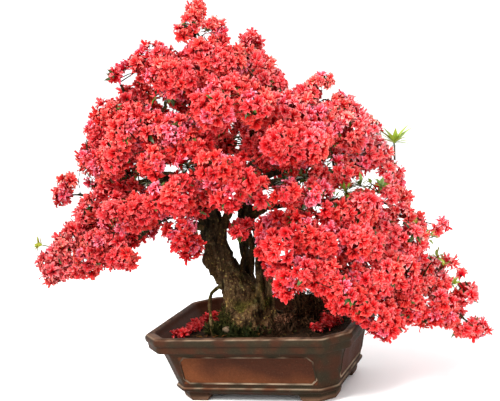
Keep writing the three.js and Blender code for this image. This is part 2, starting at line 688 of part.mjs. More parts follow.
// The flat faces of a core: each one's corners, and the middle and radius of the cloud there
function coreFaces(rings) {
  const first = rings[0];
  const last = rings[rings.length - 1];
  const end = (rings.length - 1) * 4;
  const faces = [{ corners: [3, 2, 1, 0], middle: first.middle, radius: first.radius }];
  for (let step = 0; step < rings.length - 1; step += 1) {
    const low = step * 4;
    for (let side = 0; side < 4; side += 1) {
      const next = (side + 1) % 4;
      faces.push({
        corners: [low + side, low + next, low + 4 + next, low + 4 + side],
        middle: rings[step].middle.clone().lerp(rings[step + 1].middle, 0.5),
        radius: (rings[step].radius + rings[step + 1].radius) / 2,
      });
    }
  }
  faces.push({ corners: [end, end + 1, end + 2, end + 3], middle: last.middle, radius: last.radius });
  return faces;
}

// The largest bloom that fits on one face of a core, clear of its own cloud and of its neighbours
function fittedBloom(base, face, axis, depth, seed, own, neighbours) {
  for (const scale of BLOOM_SCALES) {
    const rise = (face.radius * RIM_SHARE - depth) * 0.8 * (0.5 + scale / 2);
    const radius = face.radius * BLOOM_SHARE * scale;
    const bloom = bloomSolid(base, axis, rise, radius, seeded(seed));
    if (bloom !== null && !crosses(bloom, own) && isClear(bloom, neighbours)) {
      own.push(bloom);
      return bloomOn(base, axis, rise, radius, seeded(seed));
    }
  }
  return null;
}

// One cloud: its slim core, and the blooms that flare out of it wherever it faces outward
function cloudSolid(name, heads, wood, neighbours) {
  const random = seeded(seedOf(name));
  const rings = coreRings(heads);
  const corners = rings.flatMap(({ ring }) => ring);
  const heart = place(CROWN_HEART);
  const points = [...corners];
  const triangles = [];
  const own = [coreSolid(heads)];
  for (const face of coreFaces(rings)) {
    const base = face.corners.map((corner) => corners[corner].clone());
    const centre = meanOf(base);
    const across = base[2].clone().sub(base[0]);
    const normal = across.cross(base[3].clone().sub(base[1])).normalize();
    const outward = face.middle.clone().sub(heart).normalize();
    const depth = centre.clone().sub(face.middle).dot(normal);
    let placed = null;
    if (normal.dot(outward) > FACING) {
      const wobble = new THREE.Vector3(random() - 0.5, random() - 0.5, random() - 0.2);
      const axis = normal.clone().addScaledVector(wobble, BLOOM_WOBBLE).normalize();
      const seed = Math.floor(random() * 1e6);
      placed = fittedBloom(base, face, axis, depth, seed, own, neighbours);
    }
    if (placed === null) {
      const [one, two, three, four] = face.corners;
      triangles.push([one, two, three], [one, three, four]);
    } else {
      const shift = points.length - 4;
      const index = (corner) => (corner < 4 ? face.corners[corner] : corner + shift);
      points.push(...placed.points.slice(4));
      triangles.push(...placed.triangles.map((triangle) => triangle.map(index)));
    }
  }
  const cloud = solidFrom(points.map((point) => point.toArray()), triangles);
  return largest(cloud.subtract(wood.grown));
}

// A leafy shoot: a thin stem with pointed leaves around its tip
function leafSolid(base, way, up, long) {
  const side = new THREE.Vector3().crossVectors(way, up).normalize();
  const lift = new THREE.Vector3().crossVectors(side, way).normalize();
  const rim = [[0, 0], [0.3, 0.15], [0.66, 0.15], [1, 0], [0.66, -0.15], [0.3, -0.15]];
  const fold = 0.3;
  const droop = 0.16;
  const at = (along, across, height) => base.clone()
    .addScaledVector(way, along * long)
    .addScaledVector(side, across * long)
    .addScaledVector(lift, (height - droop * along * along) * long)
    .toArray();
  const points = rim.map(([along, across]) => at(along, across, fold * Math.abs(across)));
  points.push(at(0.45, 0, 0.02), at(0.45, 0, -0.03));
  const triangles = [];
  for (let corner = 0; corner < rim.length; corner += 1) {
    const next = (corner + 1) % rim.length;
    triangles.push([6, corner, next], [7, next, corner]);
  }
  return solidFrom(points, triangles);
}

function shootSolid(name, { from, way, leaves, long, stem }) {
  const random = seeded(seedOf(name));
  const rise = new THREE.Vector3(...way).normalize();
  const foot = new THREE.Vector3(...from);
  const tip = foot.clone().addScaledVector(rise, stem);
  const stalk = {
    at: [foot, foot.clone().lerp(tip, 0.5), tip].map((spot) => spot.toArray()),
    radii: [2.6, 2.2, 1.8], sides: 4, gnarl: 0, steps: 2,
  };
  const pieces = [limbSolid(stalk, name, 0)];
  const origin = place(tip.toArray());
  const axis = place(rise.toArray()).normalize();
  const upright = new THREE.Quaternion().setFromUnitVectors(new THREE.Vector3(0, 0, 1), axis);
  for (let leaf = 0; leaf < leaves; leaf += 1) {
    const angle = (leaf / leaves) * 2 * Math.PI + random();
    const open = THREE.MathUtils.degToRad(LEAF_OPENING[leaf % LEAF_OPENING.length]);
    const out = new THREE.Vector3().setFromSphericalCoords(1, open, angle);
    out.set(out.z, out.x, out.y);
    const base = origin.clone().addScaledVector(axis, -2 - 5 * (leaf / leaves));
    const size = long * (0.8 + 0.3 * random());
    pieces.push(leafSolid(base, out.applyQuaternion(upright), axis, size));
  }
  return Manifold.union(pieces);
}

// Moss cushions, fallen blossom and a pebble, each seated on the soil
function seated(solid, ground, wood) {
  return largest(solid.subtract(ground).subtract(wood.grown));
}

function mossSolid(name, tufts, ground, wood) {
  const random = seeded(seedOf(name));
  const cushions = tufts.flatMap(([right, toward, radius]) => {
    const centre = place([right, toward, 0]);
    const level = soilHeight(centre.x, centre.y);
    const cushion = new THREE.IcosahedronGeometry(radius, 0);
    cushion.rotateZ(random() * 3);
    cushion.scale(1.15, 1.15, 0.55);
    cushion.translate(centre.x, centre.y, level + 1);
    const angle = random() * 2 * Math.PI;
    const leanRight = Math.cos(angle);
    const leanToward = Math.sin(angle);
    const foot = [right + leanRight * radius * 0.5, toward + leanToward * radius * 0.5];
    const blade = {
      at: [
        [foot[0], foot[1], level - 4],
        [foot[0] + 5 * leanRight, foot[1] + 3, level + 22],
        [foot[0] + 16 * leanRight, foot[1] + 10 * leanToward, level + 38],
      ],
      radii: [2.4, 1.6, 0.8], sides: 3, gnarl: 0, steps: 2,
    };
    return [solidOf(cushion), limbSolid(blade, name, 0)];
  });
  return seated(Manifold.union(cushions), ground, wood);
}

function fallenSolid(name, { from, to, count }, ground, wood) {
  const random = seeded(seedOf(name));
  const pieces = [];
  for (let index = 0; index < count; index += 1) {
    const share = index / (count - 1);
    const right = THREE.MathUtils.lerp(from[0], to[0], share) + (random() - 0.5) * 16;
    const toward = THREE.MathUtils.lerp(from[1], to[1], share) + (random() - 0.5) * 26;
    const spot = place([right, toward, 0]);
    spot.z = soilHeight(spot.x, spot.y) + FALLEN_SIZE.lift;
    const axis = new THREE.Vector3((random() - 0.5) * 0.9, (random() - 0.5) * 0.9, 1).normalize();
    const base = [0, 1, 2].map((corner) => {
      const angle = (corner / 3) * 2 * Math.PI;
      return spot.clone().add(new THREE.Vector3(Math.cos(angle) * 6, Math.sin(angle) * 6, -9));
    });
    pieces.push(bloomSolid(base, axis, FALLEN_SIZE.rise, FALLEN_SIZE.radius, random));
    const mat = new THREE.OctahedronGeometry(FALLEN_SIZE.mat, 0);
    mat.scale(1, 1, 0.5);
    mat.translate(spot.x, spot.y, spot.z - 9);
    pieces.push(solidOf(mat));
  }
  return seated(Manifold.union(pieces), ground, wood);
}

function pebbleSolid(ground, wood) {
  const centre = place([...PEBBLE.at, 0]);
  const shape = new THREE.IcosahedronGeometry(1, 0);
  shape.scale(...PEBBLE.size);
  shape.translate(centre.x, centre.y, soilHeight(centre.x, centre.y) + PEBBLE.size[2] * 0.5);
  return seated(solidOf(shape), ground, wood);
}

// The whole object
function buildBonsai() {
  const group = new THREE.Group();
  const wood = { ...withBox(woodSolid(0)), grown: woodSolid(GAP) };
  const pot = withBox(potSolid());
  const ground = soilSolid(GAP);
  const screens = { screen_left: screenSolid(-1), screen_right: screenSolid(1) };
  const pockets = [-1, 1].map((side) => {
    const width = SCREEN_SIZE + 1;
    const pocket = new THREE.BoxGeometry(width, width, 2 * (SCREEN_THICK + 2 * GAP));
    pocket.translate(side * DRAIN_SPACING / 2, 0, FLOOR_TOP);
    return solidOf(pocket);
  });
  const soil = pockets.reduce((rest, pocket) => rest.subtract(pocket), soilSolid(0)).subtract(wood.grown);
  group.add(meshOf('pot', pot.solid, FINISH.pot));
  for (const [name, solid] of Object.entries(screens)) {
    group.add(meshOf(name, solid, FINISH.screen));
  }
  group.add(meshOf('soil', largest(soil), FINISH.soil));
  group.add(meshOf('wood', wood.solid, FINISH.wood));

  const placed = [];
  const keep = (name, solid, finish) => {
    placed.push(withBox(solid));
    group.add(meshOf(name, solid, finish));
  };
  for (const [name, shoot] of Object.entries(SHOOTS)) {
    keep(name, largest(shootSolid(name, shoot).subtract(wood.grown)), FINISH.leaf);
  }
  const cores = Object.values(CLOUDS).map((heads) => withBox(coreSolid(heads)));
  Object.entries(CLOUDS).forEach(([name, heads], index) => {
    const neighbours = [wood, pot, ...placed, ...cores.slice(index + 1)];
    keep(`blossom_${name}`, cloudSolid(name, heads, wood, neighbours), FINISH.blossom);
  });
  for (const [name, tufts] of Object.entries(MOSS)) {
    keep(name, mossSolid(name, tufts, ground, wood), FINISH.moss);
  }
  for (const [name, heap] of Object.entries(FALLEN)) {
    keep(name, fallenSolid(name, heap, ground, wood), FINISH.blossom);
  }
  keep('pebble', pebbleSolid(ground, wood), FINISH.stone);

  // The middle of the whole, between its furthest points, stands over the origin
  const bounds = new THREE.Box3().setFromObject(group);
  const middle = bounds.getCenter(new THREE.Vector3());
  group.position.set(-middle.x, -middle.y, 0);
  group.updateMatrixWorld(true);
  return group;
}

export default buildBonsai();
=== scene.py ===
# Azalea bonsai in full bloom: the looks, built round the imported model.
import math
import random

import bmesh
import bpy
import numpy as np
from mathutils import Matrix, Vector, noise
from mathutils.bvhtree import BVHTree


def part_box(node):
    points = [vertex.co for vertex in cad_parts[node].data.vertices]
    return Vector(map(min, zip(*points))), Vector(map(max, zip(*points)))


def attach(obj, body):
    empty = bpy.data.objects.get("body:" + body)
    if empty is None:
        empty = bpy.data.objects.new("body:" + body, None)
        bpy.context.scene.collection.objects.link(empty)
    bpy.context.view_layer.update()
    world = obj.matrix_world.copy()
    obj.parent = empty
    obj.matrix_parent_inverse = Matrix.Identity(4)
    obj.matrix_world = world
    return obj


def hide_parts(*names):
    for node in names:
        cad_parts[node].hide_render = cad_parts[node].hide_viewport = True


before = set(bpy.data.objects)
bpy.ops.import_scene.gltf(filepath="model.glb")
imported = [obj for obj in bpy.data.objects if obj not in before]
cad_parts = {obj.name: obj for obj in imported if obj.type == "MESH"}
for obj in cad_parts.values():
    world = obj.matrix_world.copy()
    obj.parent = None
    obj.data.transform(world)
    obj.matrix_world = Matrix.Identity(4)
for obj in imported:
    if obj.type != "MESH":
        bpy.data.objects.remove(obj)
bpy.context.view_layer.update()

# noise_vector starts from this seed, so each run makes the same tree
NOISE_SEED = 7
noise.seed_set(NOISE_SEED)

MM = 0.001
UP = Vector((0, 0, 1))
POT_LOW, POT_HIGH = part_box("pot")
POT_LENGTH = POT_HIGH.x - POT_LOW.x
POT_DEPTH = POT_HIGH.y - POT_LOW.y
POT_TOP = POT_HIGH.z
MIDDLE = Vector(((POT_LOW.x + POT_HIGH.x) / 2, (POT_LOW.y + POT_HIGH.y) / 2, 0))

# The tree is laid out in a frame of its own, turned about the pot's upright axis.
# Its places are (right, toward, up), in millimetres, seen from the side that it faces.
TREE_TURN = math.radians(21.5)

# The camera stands off from the middle of the pot's rim
VIEW_TURN = math.radians(21.5)
VIEW_RISE = math.radians(15.2)
VIEW_PITCH = math.radians(6.6)
VIEW_ROLL = math.radians(-6.9)
VIEW_DISTANCE = 2.859
LENS = 72
SENSOR = 36

# The blossom clouds: round heads of (right, toward, up, radius) that run into each other.
# More than half of the heads have values from a fitting program that followed the photograph.
CLOUDS = {
    "apex": [[-131, 10, 1012, 22], [-98, 0, 1032, 27], [-82, 0, 1077, 22]],
    "crown_top": [[-41, 20, 1005, 33], [-66, 60, 953, 50], [-14, 60, 920, 48]],
    "crest_right": [[55, -40, 960, 35], [50, -35, 915, 38], [75, -5, 870, 45], [116, 0, 849, 31]],
    "shoulder_left": [[-165, -30, 930, 35], [-208, -30, 962, 29], [-250, -30, 933, 37],
        [-296, -5, 930, 16], [-328, 0, 922, 17]],
    "upper_left": [[-184, 90, 904, 46], [-115, 90, 886, 50]],
    "crown_front": [[42, 165, 800, 51], [-8, 148, 842, 50], [-62, 190, 812, 56], [-73, 130, 768, 46]],
    "left_high": [[-275, -60, 862, 40], [-314, -55, 844, 26], [-358, -10, 815, 36],
        [-392, -10, 772, 36]],
    "left_front": [[-232, 110, 772, 48], [-287, 108, 788, 48], [-325, 80, 732, 47],
        [-368, 60, 680, 45]],
    "mid_front": [[-165, 150, 757, 47], [-118, 150, 712, 47], [-150, 178, 650, 47]],
    "left_rim": [[-434, -70, 695, 42], [-425, -80, 640, 38]],
    "bunch_left": [[-499, 0, 644, 22], [-522, 0, 606, 17]],
    "ball_left": [[-212, 128, 712, 34], [-235, 170, 676, 38]],
    "ball_centre": [[-85, 270, 661, 43], [-23, 270, 633, 43], [-54, 270, 596, 42]],
    "ball_centre_left": [[-184, 245, 612, 51], [-232, 238, 590, 40]],
    "left_low_rear": [[-443, 20, 561, 42], [-497, 20, 506, 32]],
    "left_low_middle": [[-356, 130, 556, 48], [-281, 130, 559, 48]],
    "left_low_front": [[-447, 100, 452, 47], [-393, 100, 487, 43], [-352, 138, 440, 34]],
    "left_tip": [[-588, 60, 457, 16], [-570, 60, 439, 34], [-525, 60, 455, 44]],
    "trunk_bunch": [[-198, 120, 500, 38], [-176, 120, 454, 40]],
    "horn": [[241, -20, 836, 25], [189, -20, 805, 28]],
    "shoulder_right": [[278, -20, 761, 39], [326, -30, 726, 24], [360, -30, 691, 23]],
    "right_high": [[115, 100, 773, 48], [172, 100, 750, 48], [239, 60, 717, 48], [293, 60, 692, 48]],
    "ball_right_front": [[99, 220, 703, 51], [172, 220, 697, 51]],
    "right_wing": [[335, 0, 622, 47], [369, 0, 628, 30], [393, -5, 574, 25], [418, -28, 539, 27],
        [432, -38, 487, 26]],
    "right_inner": [[235, 50, 596, 38], [280, 50, 565, 38]],
    "centre_low": [[30, 200, 579, 39], [90, 200, 572, 37]],
    "right_belly": [[175, 170, 549, 43], [222, 145, 487, 48], [304, 140, 499, 48]],
    "right_rim_low": [[402, 22, 446, 34], [446, 4, 412, 28], [484, 0, 388, 16], [524, 0, 399, 16]],
    "hang_centre": [[34, 150, 479, 30], [101, 148, 507, 40]],
    "inner_front": [[23, 110, 738, 49], [28, 118, 677, 42], [-12, 98, 642, 36]],
    "low_front": [[66, 225, 432, 52], [118, 205, 455, 51], [170, 205, 424, 48]],
    "low_middle": [[258, 190, 420, 50], [305, 165, 388, 42]],
    "low_right": [[353, 90, 412, 45], [412, 90, 392, 46], [431, 60, 359, 33], [460, 30, 315, 29],
        [490, 30, 280, 37]],
    "skirt_front": [[58, 255, 338, 30], [105, 250, 368, 43], [162, 240, 358, 41], [195, 240, 305, 43],
        [248, 230, 255, 38], [313, 220, 192, 41]],
    "skirt_right": [[228, 155, 350, 38], [296, 170, 305, 48], [362, 165, 318, 54], [387, 130, 258, 44],
        [396, 130, 202, 40]],
    "skirt_far": [[487, 90, 204, 41], [452, 90, 164, 33]],
    "tip_high": [[572, 0, 248, 16], [572, 20, 197, 32]],
    "tip_low": [[541, 60, 117, 32], [591, 60, 106, 30]],
    "back_crest": [[-108, -95, 955, 44], [-50, -110, 930, 52], [10, -125, 885, 52]],
    "back_high_left": [[-335, -150, 770, 48], [-265, -185, 795, 54], [-190, -175, 840, 54],
        [-120, -185, 805, 54]],
    "back_high_right": [[-25, -225, 785, 55], [60, -195, 790, 55], [140, -180, 768, 52],
        [215, -150, 731, 50]],
    "back_left": [[-400, -185, 620, 48], [-330, -235, 655, 55], [-255, -265, 640, 57],
        [-280, -250, 560, 52]],
    "back_middle": [[-150, -285, 700, 55], [-75, -315, 655, 58], [0, -315, 625, 57],
        [55, -300, 560, 54]],
    "back_right": [[300, -160, 600, 50], [222, -230, 600, 56], [150, -268, 580, 55],
        [135, -262, 508, 50]],
    "back_low_right": [[290, -170, 480, 52], [350, -130, 450, 50], [376, -112, 385, 46]],
    "back_low_left": [[-440, -110, 490, 44], [-365, -150, 472, 44], [-300, -185, 470, 37]],
    "fill_trunk": [[-143, 95, 547, 33], [-113, 110, 575, 22]],
    "fill_fork": [[-46, 30, 461, 20], [-11, 30, 471, 16]],
    "fill_wing": [[379, 25, 544, 25], [391, 15, 505, 26]],
    "fill_low_left": [[-554, 90, 412, 24], [-504, 95, 412, 16], [-447, 105, 420, 18]],
    "fill_left_mid": [[-400, 30, 606, 19], [-345, 30, 614, 18], [-306, 30, 620, 18]],
    "fill_skirt": [[23, 190, 427, 26], [42, 200, 368, 22]],
    "fill_right_a": [[243, 150, 342, 24], [235, 150, 411, 24]],
    "fill_right_b": [[455, 70, 252, 30], [494, 60, 250, 29]],
    "fill_right_c": [[326, 175, 241, 24], [340, 170, 205, 20]],
    "fill_right_d": [[510, 60, 150, 29], [536, 50, 153, 22]],
    "fill_mid_right": [[119, 60, 620, 18], [162, 60, 612, 18], [212, 60, 594, 18]],
    "fill_right_e": [[533, 30, 298, 15], [541, 24, 290, 12]],
    "fill_mid_a": [[119, 60, 575, 14]],
    "fill_mid_b": [[286, 50, 556, 10]],
    "fill_mid_c": [[369, 20, 540, 16]],
    "fill_low_a": [[-43, 150, 472, 14]],
    "fill_low_b": [[-326, 120, 486, 14]],
    "fill_back_top": [[-60, -150, 878, 36], [40, -158, 848, 36]],
    "fill_back_left": [[-238, -232, 722, 38], [-198, -222, 752, 30]],
    "fill_back_middle": [[52, -255, 705, 37], [118, -238, 678, 34]],
    "fill_back_right": [[268, -172, 668, 34]],
    "fill_back_low": [[-205, -285, 606, 36], [-128, -298, 596, 30]],
    "fill_back_low_right": [[232, -206, 532, 34]],
    "fill_back_low_left": [[-362, -188, 552, 34]],
}

# Gaps in the crown, in pixels of the photograph: right, down, half their width, half their height
GAPS = (
    (164, 103, 6, 2), (174, 167, 7, 4), (188, 169, 6, 6), (146, 180, 7, 3), (159, 181, 9, 2),
    (239, 141, 2, 5), (250, 162, 4, 3), (230, 96, 1, 4), (272, 178, 4, 2), (282, 182, 3, 1),
    (303, 184, 4, 2), (307, 169, 3, 1), (330, 166, 3, 2), (346, 191, 5, 2), (361, 184, 5, 4),
    (378, 177, 4, 3), (385, 202, 2, 4), (277, 208, 6, 2), (314, 213, 1, 1), (131, 76, 5, 1),
    (324, 95, 2, 5), (202, 33, 4, 4), (416, 238, 3, 2), (428, 252, 3, 2), (462, 280, 3, 2),
    (467, 316, 4, 1), (375, 314, 3, 3), (172, 35, 2, 4), (234, 41, 1, 5), (267, 50, 1, 5), (281, 67, 5, 2),
    (359, 97, 4, 3), (77, 147, 2, 3), (42, 247, 4, 3), (172, 217, 6, 1), (200, 222, 3, 3), (217, 216, 5, 2),
    (334, 198, 5, 2), (411, 183, 3, 6), (430, 225, 4, 3), (436, 251, 3, 2), (470, 281, 6, 2),
    (472, 306, 4, 2), (448, 336, 6, 2), (362, 335, 5, 2), (260, 271, 2, 8), (316, 303, 6, 2),
    (251, 252, 3, 6), (65, 214, 3, 6), (111, 95, 5, 3), (86, 114, 3, 4), (242, 218, 6, 2), (402, 222, 3, 2),
    (268, 301, 3, 3), (87, 176, 3, 2),
)

# How far a flower reaches past its middle, in those pixels
BLOOM_REACH = 4.5

# Sprigs of leaves in those gaps: right and down in pixels, then toward, spread, leaves and paleness
SPRIGS = (
    (188, 168, -10, 17, 46, 0.1), (150, 181, 20, 13, 16, 0.35), (138, 174, 20, 12, 14, 0.4),
    (202, 188, 30, 12, 20, 0.1), (170, 98, -20, 12, 14, 0.15), (156, 96, -20, 10, 10, 0.15),
    (304, 178, 50, 17, 30, 0.2), (284, 181, 50, 14, 20, 0.15), (292, 176, 40, 12, 16, 0.15),
    (346, 192, 105, 20, 30, 0.6), (360, 186, 100, 15, 20, 0.35), (335, 197, 110, 13, 14, 0.55),
    (372, 184, 80, 10, 9, 0.45), (370, 214, 110, 8, 8, 1.0), (334, 160, 60, 8, 8, 0.5),
    (428, 238, 60, 12, 13, 0.65), (437, 257, 60, 11, 12, 0.65), (444, 266, 55, 9, 9, 0.5),
    (412, 226, 60, 9, 9, 0.55), (215, 205, 60, 10, 12, 0.1), (325, 120, 60, 8, 7, 0.4),
)

# Flowers. A head is one round of a cloud.
HEAD_SWELL = 0.93
HEAD_RIPPLE = 0.16
HEAD_STEP = 14 * MM
BLOOM_RADIUS = 24 * MM
BLOOM_SPACING = 20 * MM
BLOOM_SINK = 11 * MM
BURIED = 8 * MM
INNER_PETALS = 9
INNER_PALE = (0, 0.012, 0.012)
VARIANTS = 8

# The back can't be seen in the photograph, so its heads are varied by noise
BACK_SWELL = 0.3
BACK_SHIFT = 26 * MM

# Places tried on a head: the fewest, and how many more on one of the usual radius
FEWEST_SPOTS, MORE_SPOTS, USUAL_HEAD = 26, 52, 45 * MM

# A head's inner side is bare. This is the cosine at which that begins.
BARE_SIDE = -0.7

# Shares of the flowers that are pink, and that stand proud of the rest
PINK_SHARE = 0.1
PROUD_SHARE = 0.07

# Rings of petals, from the outermost: petals, length, half width, rise, curl and rows of faces
PETAL_RINGS = ((6, 1.0, 0.24, 0.40, 0.34, 4), (5, 0.86, 0.23, 0.64, 0.20, 3), (5, 0.62, 0.19, 0.84, 0.06, 3))
CROWN_HEART = (-20, -20, 520)


def srgb(red, green, blue):
    """A colour given as 0 to 255 on the screen, as the linear values that a shader takes."""
    values = [channel / 255 for channel in (red, green, blue)]
    return tuple(v / 12.92 if v <= 0.04045 else ((v + 0.055) / 1.055) ** 2.4 for v in values)


def clamp(value, low=0.0, high=1.0):
    return max(low, min(high, value))


def any_turn(rng):
    """A random angle. Its range is a little over a full turn."""
    return rng.uniform(0, 6.3)


def any_way(rng, low=-1, high=1):
    """A random arrow, with its upright part between two limits."""
    return Vector((rng.uniform(-1, 1), rng.uniform(-1, 1), rng.uniform(low, high)))


def link(name, data):
    """A new object in the scene."""
    obj = bpy.data.objects.new(name, data)
    bpy.context.scene.collection.objects.link(obj)
    return obj


# The deep red is partly the throat's own colour and partly painted shade; the edge colour is partly the
# petals' own and partly a painted highlight
PETAL_THROAT_AND_SHADE = srgb(176, 2, 14)
PETAL_MID = srgb(252, 26, 42)
PETAL_TIP = srgb(255, 144, 138)
PETAL_EDGE_AND_HIGHLIGHT = srgb(255, 190, 178)
PINK_SHADE = (1.0, 1.3, 1.9)
STAMEN = srgb(240, 130, 124)


def place(right, toward, up):
    """From the tree's own frame, in millimetres, to the shared frame."""
    cos, sin = math.cos(TREE_TURN), math.sin(TREE_TURN)
    return MIDDLE + Vector((right * cos + toward * sin, right * sin - toward * cos, up)) * MM


def view_matrix():
    """The camera's own axes and place, as the photograph was taken."""
    rim = MIDDLE + Vector((0, 0, POT_TOP))
    back = Vector((math.sin(VIEW_TURN) * math.cos(VIEW_RISE), -math.cos(VIEW_TURN) * math.cos(VIEW_RISE),
                   math.sin(VIEW_RISE)))
    right = Vector((math.cos(VIEW_TURN), math.sin(VIEW_TURN), 0))
    where = rim + back * VIEW_DISTANCE
    back = Matrix.Rotation(VIEW_PITCH, 3, right) @ back
    up = back.cross(right)
    roll = Matrix.Rotation(VIEW_ROLL, 3, back)
    return Matrix.Translation(where) @ Matrix((roll @ right, roll @ up, back)).transposed().to_4x4()


VIEW = view_matrix()
VIEW_BACK = VIEW.inverted()
PHOTO_WIDTH, PHOTO_HEIGHT = 500, 401
PHOTO_FOCUS = PHOTO_WIDTH * LENS / SENSOR


def seen_at(point):
    """Where the photograph shows a point: right and down from its corner, in its pixels."""
    local = VIEW_BACK @ point
    across = PHOTO_WIDTH / 2 - PHOTO_FOCUS * local.x / local.z
    down = PHOTO_HEIGHT / 2 + PHOTO_FOCUS * local.y / local.z
    return across, down


def behind(across, down, toward):
    """The point seen at a place in the photograph, at a depth in the tree's own frame."""
    eye = VIEW.translation
    x, y = (across - PHOTO_WIDTH / 2) / PHOTO_FOCUS, (PHOTO_HEIGHT / 2 - down) / PHOTO_FOCUS
    ray = VIEW.to_3x3() @ Vector((x, y, -1))
    depth = place(0, 1, 0) - place(0, 0, 0)
    depth.normalize()
    return eye + ray * ((toward * MM - (eye - MIDDLE).dot(depth)) / ray.dot(depth))


def in_gap(point):
    """Whether a flower at this point would cover a gap in the crown."""
    across, down = seen_at(point)
    for right, drop, half_wide, half_high in GAPS:
        x = (across - right) / (half_wide + BLOOM_REACH)
        y = (down - drop) / (half_high + BLOOM_REACH)
        if x ** 2 + y ** 2 < 1:
            return True
    return False


# Meshes built from arrays, and the pieces made of them
class Sheets:
    """Triangles with a colour at each point, gathered up for one mesh."""

    def __init__(self):
        self.points, self.faces, self.colours, self.count = [], [], [], 0

    def add(self, points, faces, colours):
        points = np.asarray(points, float).reshape(-1, 3)
        colours = np.broadcast_to(np.asarray(colours, float), points.shape)
        self.points.append(points)
        self.faces.append(np.asarray(faces, int).reshape(-1, 3) + self.count)
        self.colours.append(colours)
        self.count += len(points)

    def add_tube(self, path, radii, sides, colour):
        """A closed tube through the points, with a radius in millimetres at each."""
        points, faces = tube(path, [radius * MM for radius in radii], sides)
        self.add(points, faces, colour)

    def mesh_object(self, name, material, smooth=True):
        points = np.concatenate(self.points).astype(np.float32)
        faces = np.concatenate(self.faces).astype(np.int32)
        colours = np.concatenate(self.colours)
        mesh = bpy.data.meshes.new(name)
        mesh.vertices.add(len(points))
        mesh.vertices.foreach_set("co", points.ravel())
        mesh.loops.add(faces.size)
        mesh.loops.foreach_set("vertex_index", faces.ravel())
        mesh.polygons.add(len(faces))
        mesh.polygons.foreach_set("loop_start", np.arange(0, faces.size, 3, dtype=np.int32))
        mesh.update(calc_edges=True)
        tint = mesh.color_attributes.new("Tint", "FLOAT_COLOR", "POINT")
        rgba = np.ones((len(points), 4), np.float32)
        rgba[:, :3] = np.clip(colours, 0, 1)
        tint.data.foreach_set("color", rgba.ravel())
        mesh.polygons.foreach_set("use_smooth", np.full(len(faces), smooth))
        mesh.materials.append(material)
        return link(name, mesh)

    def finish(self, name, material, slot, *nodes, smooth=True):
        """The mesh as a piece of its own, in place of the CAD nodes that are named."""
        finish_piece(self.mesh_object(name, material, smooth), slot, *nodes)


def stitch(rows, columns, wrap=False, loop=False):
    """Triangles between rows of points. Wrap closes each row, and loop joins the last row to the first."""
    faces = []
    for row in range(rows if loop else rows - 1):
        here, after = row * columns, (row + 1) % rows * columns
        for column in range(columns if wrap else columns - 1):
            beside = (column + 1) % columns
            faces.append((here + column, here + beside, after + beside))
            faces.append((here + column, after + beside, after + column))
    return faces


def stitch_closed(rows, columns):
    """The same round a tube, with both of its ends closed."""
    faces = stitch(rows, columns, wrap=True)
    last = (rows - 1) * columns
    for corner in range(1, columns - 1):
        faces += [(0, corner + 1, corner), (last, last + corner, last + corner + 1)]
    return faces


def finish_piece(obj, slot, *nodes):
    """The piece rides the root body and stands for the CAD nodes named, which are hidden. Its slot is not
    used.
    """
    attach(obj, "root")
    if nodes:
        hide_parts(*nodes)


# Materials. A Mix node's colour sockets have no names of their own, only numbers.
MIX_FACTOR, MIX_FIRST, MIX_SECOND, MIX_RESULT = 0, 6, 7, 2


class Shader:
    """A material and its nodes, with short names for the ones that are used often."""

    def __init__(self, name, roughness, specular=0.5):
        self.material = bpy.data.materials.new(name)
        self.material.use_nodes = True
        self.tree = self.material.node_tree
        self.surface = self.tree.nodes["Principled BSDF"]
        self.surface.inputs["Roughness"].default_value = roughness
        self.surface.inputs["Specular IOR Level"].default_value = specular
        self.coordinates = self.tree.nodes.new("ShaderNodeTexCoord").outputs["Object"]

    def link(self, source, target):
        self.tree.links.new(source, target)

    def node(self, kind, **values):
        """A new node. Each value is a link or a constant for the socket of that name."""
        node = self.tree.nodes.new("ShaderNode" + kind)
        for name, value in values.items():
            if isinstance(value, bpy.types.NodeSocket):
                self.link(value, node.inputs[name])
            else:
                node.inputs[name].default_value = value
        return node

    def noise(self, scale, detail=4, roughness=0.55, stretch=None):
        where = self.coordinates
        if stretch is not None:
            where = self.node("Mapping", Vector=where, Scale=stretch).outputs["Vector"]
        node = self.node("TexNoise", Vector=where, Scale=scale, Detail=detail, Roughness=roughness)
        return node.outputs["Fac"]

    def ramp(self, source, *stops):
        """The source's value turned into greys or colours, between stops of (position, value)."""
        node = self.node("ValToRGB", Fac=source)
        elements = node.color_ramp.elements
        while len(elements) < len(stops):
            elements.new(0.5)
        for element, (position, value) in zip(elements, stops):
            element.position = position
            element.color = (*value, 1) if isinstance(value, tuple) else (value, value, value, 1)
        return node.outputs["Color"]

    def mix(self, factor, first, second, how="MIX"):
        node = self.tree.nodes.new("ShaderNodeMix")
        node.data_type = "RGBA"
        node.blend_type = how
        for number, value in ((MIX_FACTOR, factor), (MIX_FIRST, first), (MIX_SECOND, second)):
            socket = node.inputs[number]
            if isinstance(value, bpy.types.NodeSocket):
                self.link(value, socket)
            else:
                socket.default_value = (*value, 1) if isinstance(value, tuple) else value
        return node.outputs[MIX_RESULT]

    def tint(self):
        """The colour that the mesh has at each point."""
        node = self.node("VertexColor")
        node.layer_name = "Tint"
        return node.outputs["Color"]

    def colour(self, source):
        self.link(source, self.surface.inputs["Base Color"])

    def bump(self, height, distance, strength=1.0):
        node = self.node("Bump", Height=height, Distance=distance, Strength=strength)
        self.link(node.outputs["Normal"], self.surface.inputs["Normal"])


def mottled(name, roughness, specular, grain, share, dark, pale, bump):
    """A material in the mesh's own colours, mottled and roughened by fine noise."""
    shader = Shader(name, roughness, specular)
    spots = shader.noise(*grain)
    shade = shader.ramp(spots, (0.3, dark), (0.7, pale))
    shader.colour(shader.mix(share, shader.tint(), shade, "MULTIPLY"))
    shader.bump(spots, *bump)
    return shader


def petal_material():
    shader = mottled("petal", 0.7, 0.04, (260, 3, 0.6), 0.25, 0.72, 1.0, (0.0006, 0.5))
    shader.surface.inputs["Subsurface Weight"].default_value = 0.12
    shader.surface.inputs["Subsurface Radius"].default_value = (0.006, 0.002, 0.002)
    return shader.material


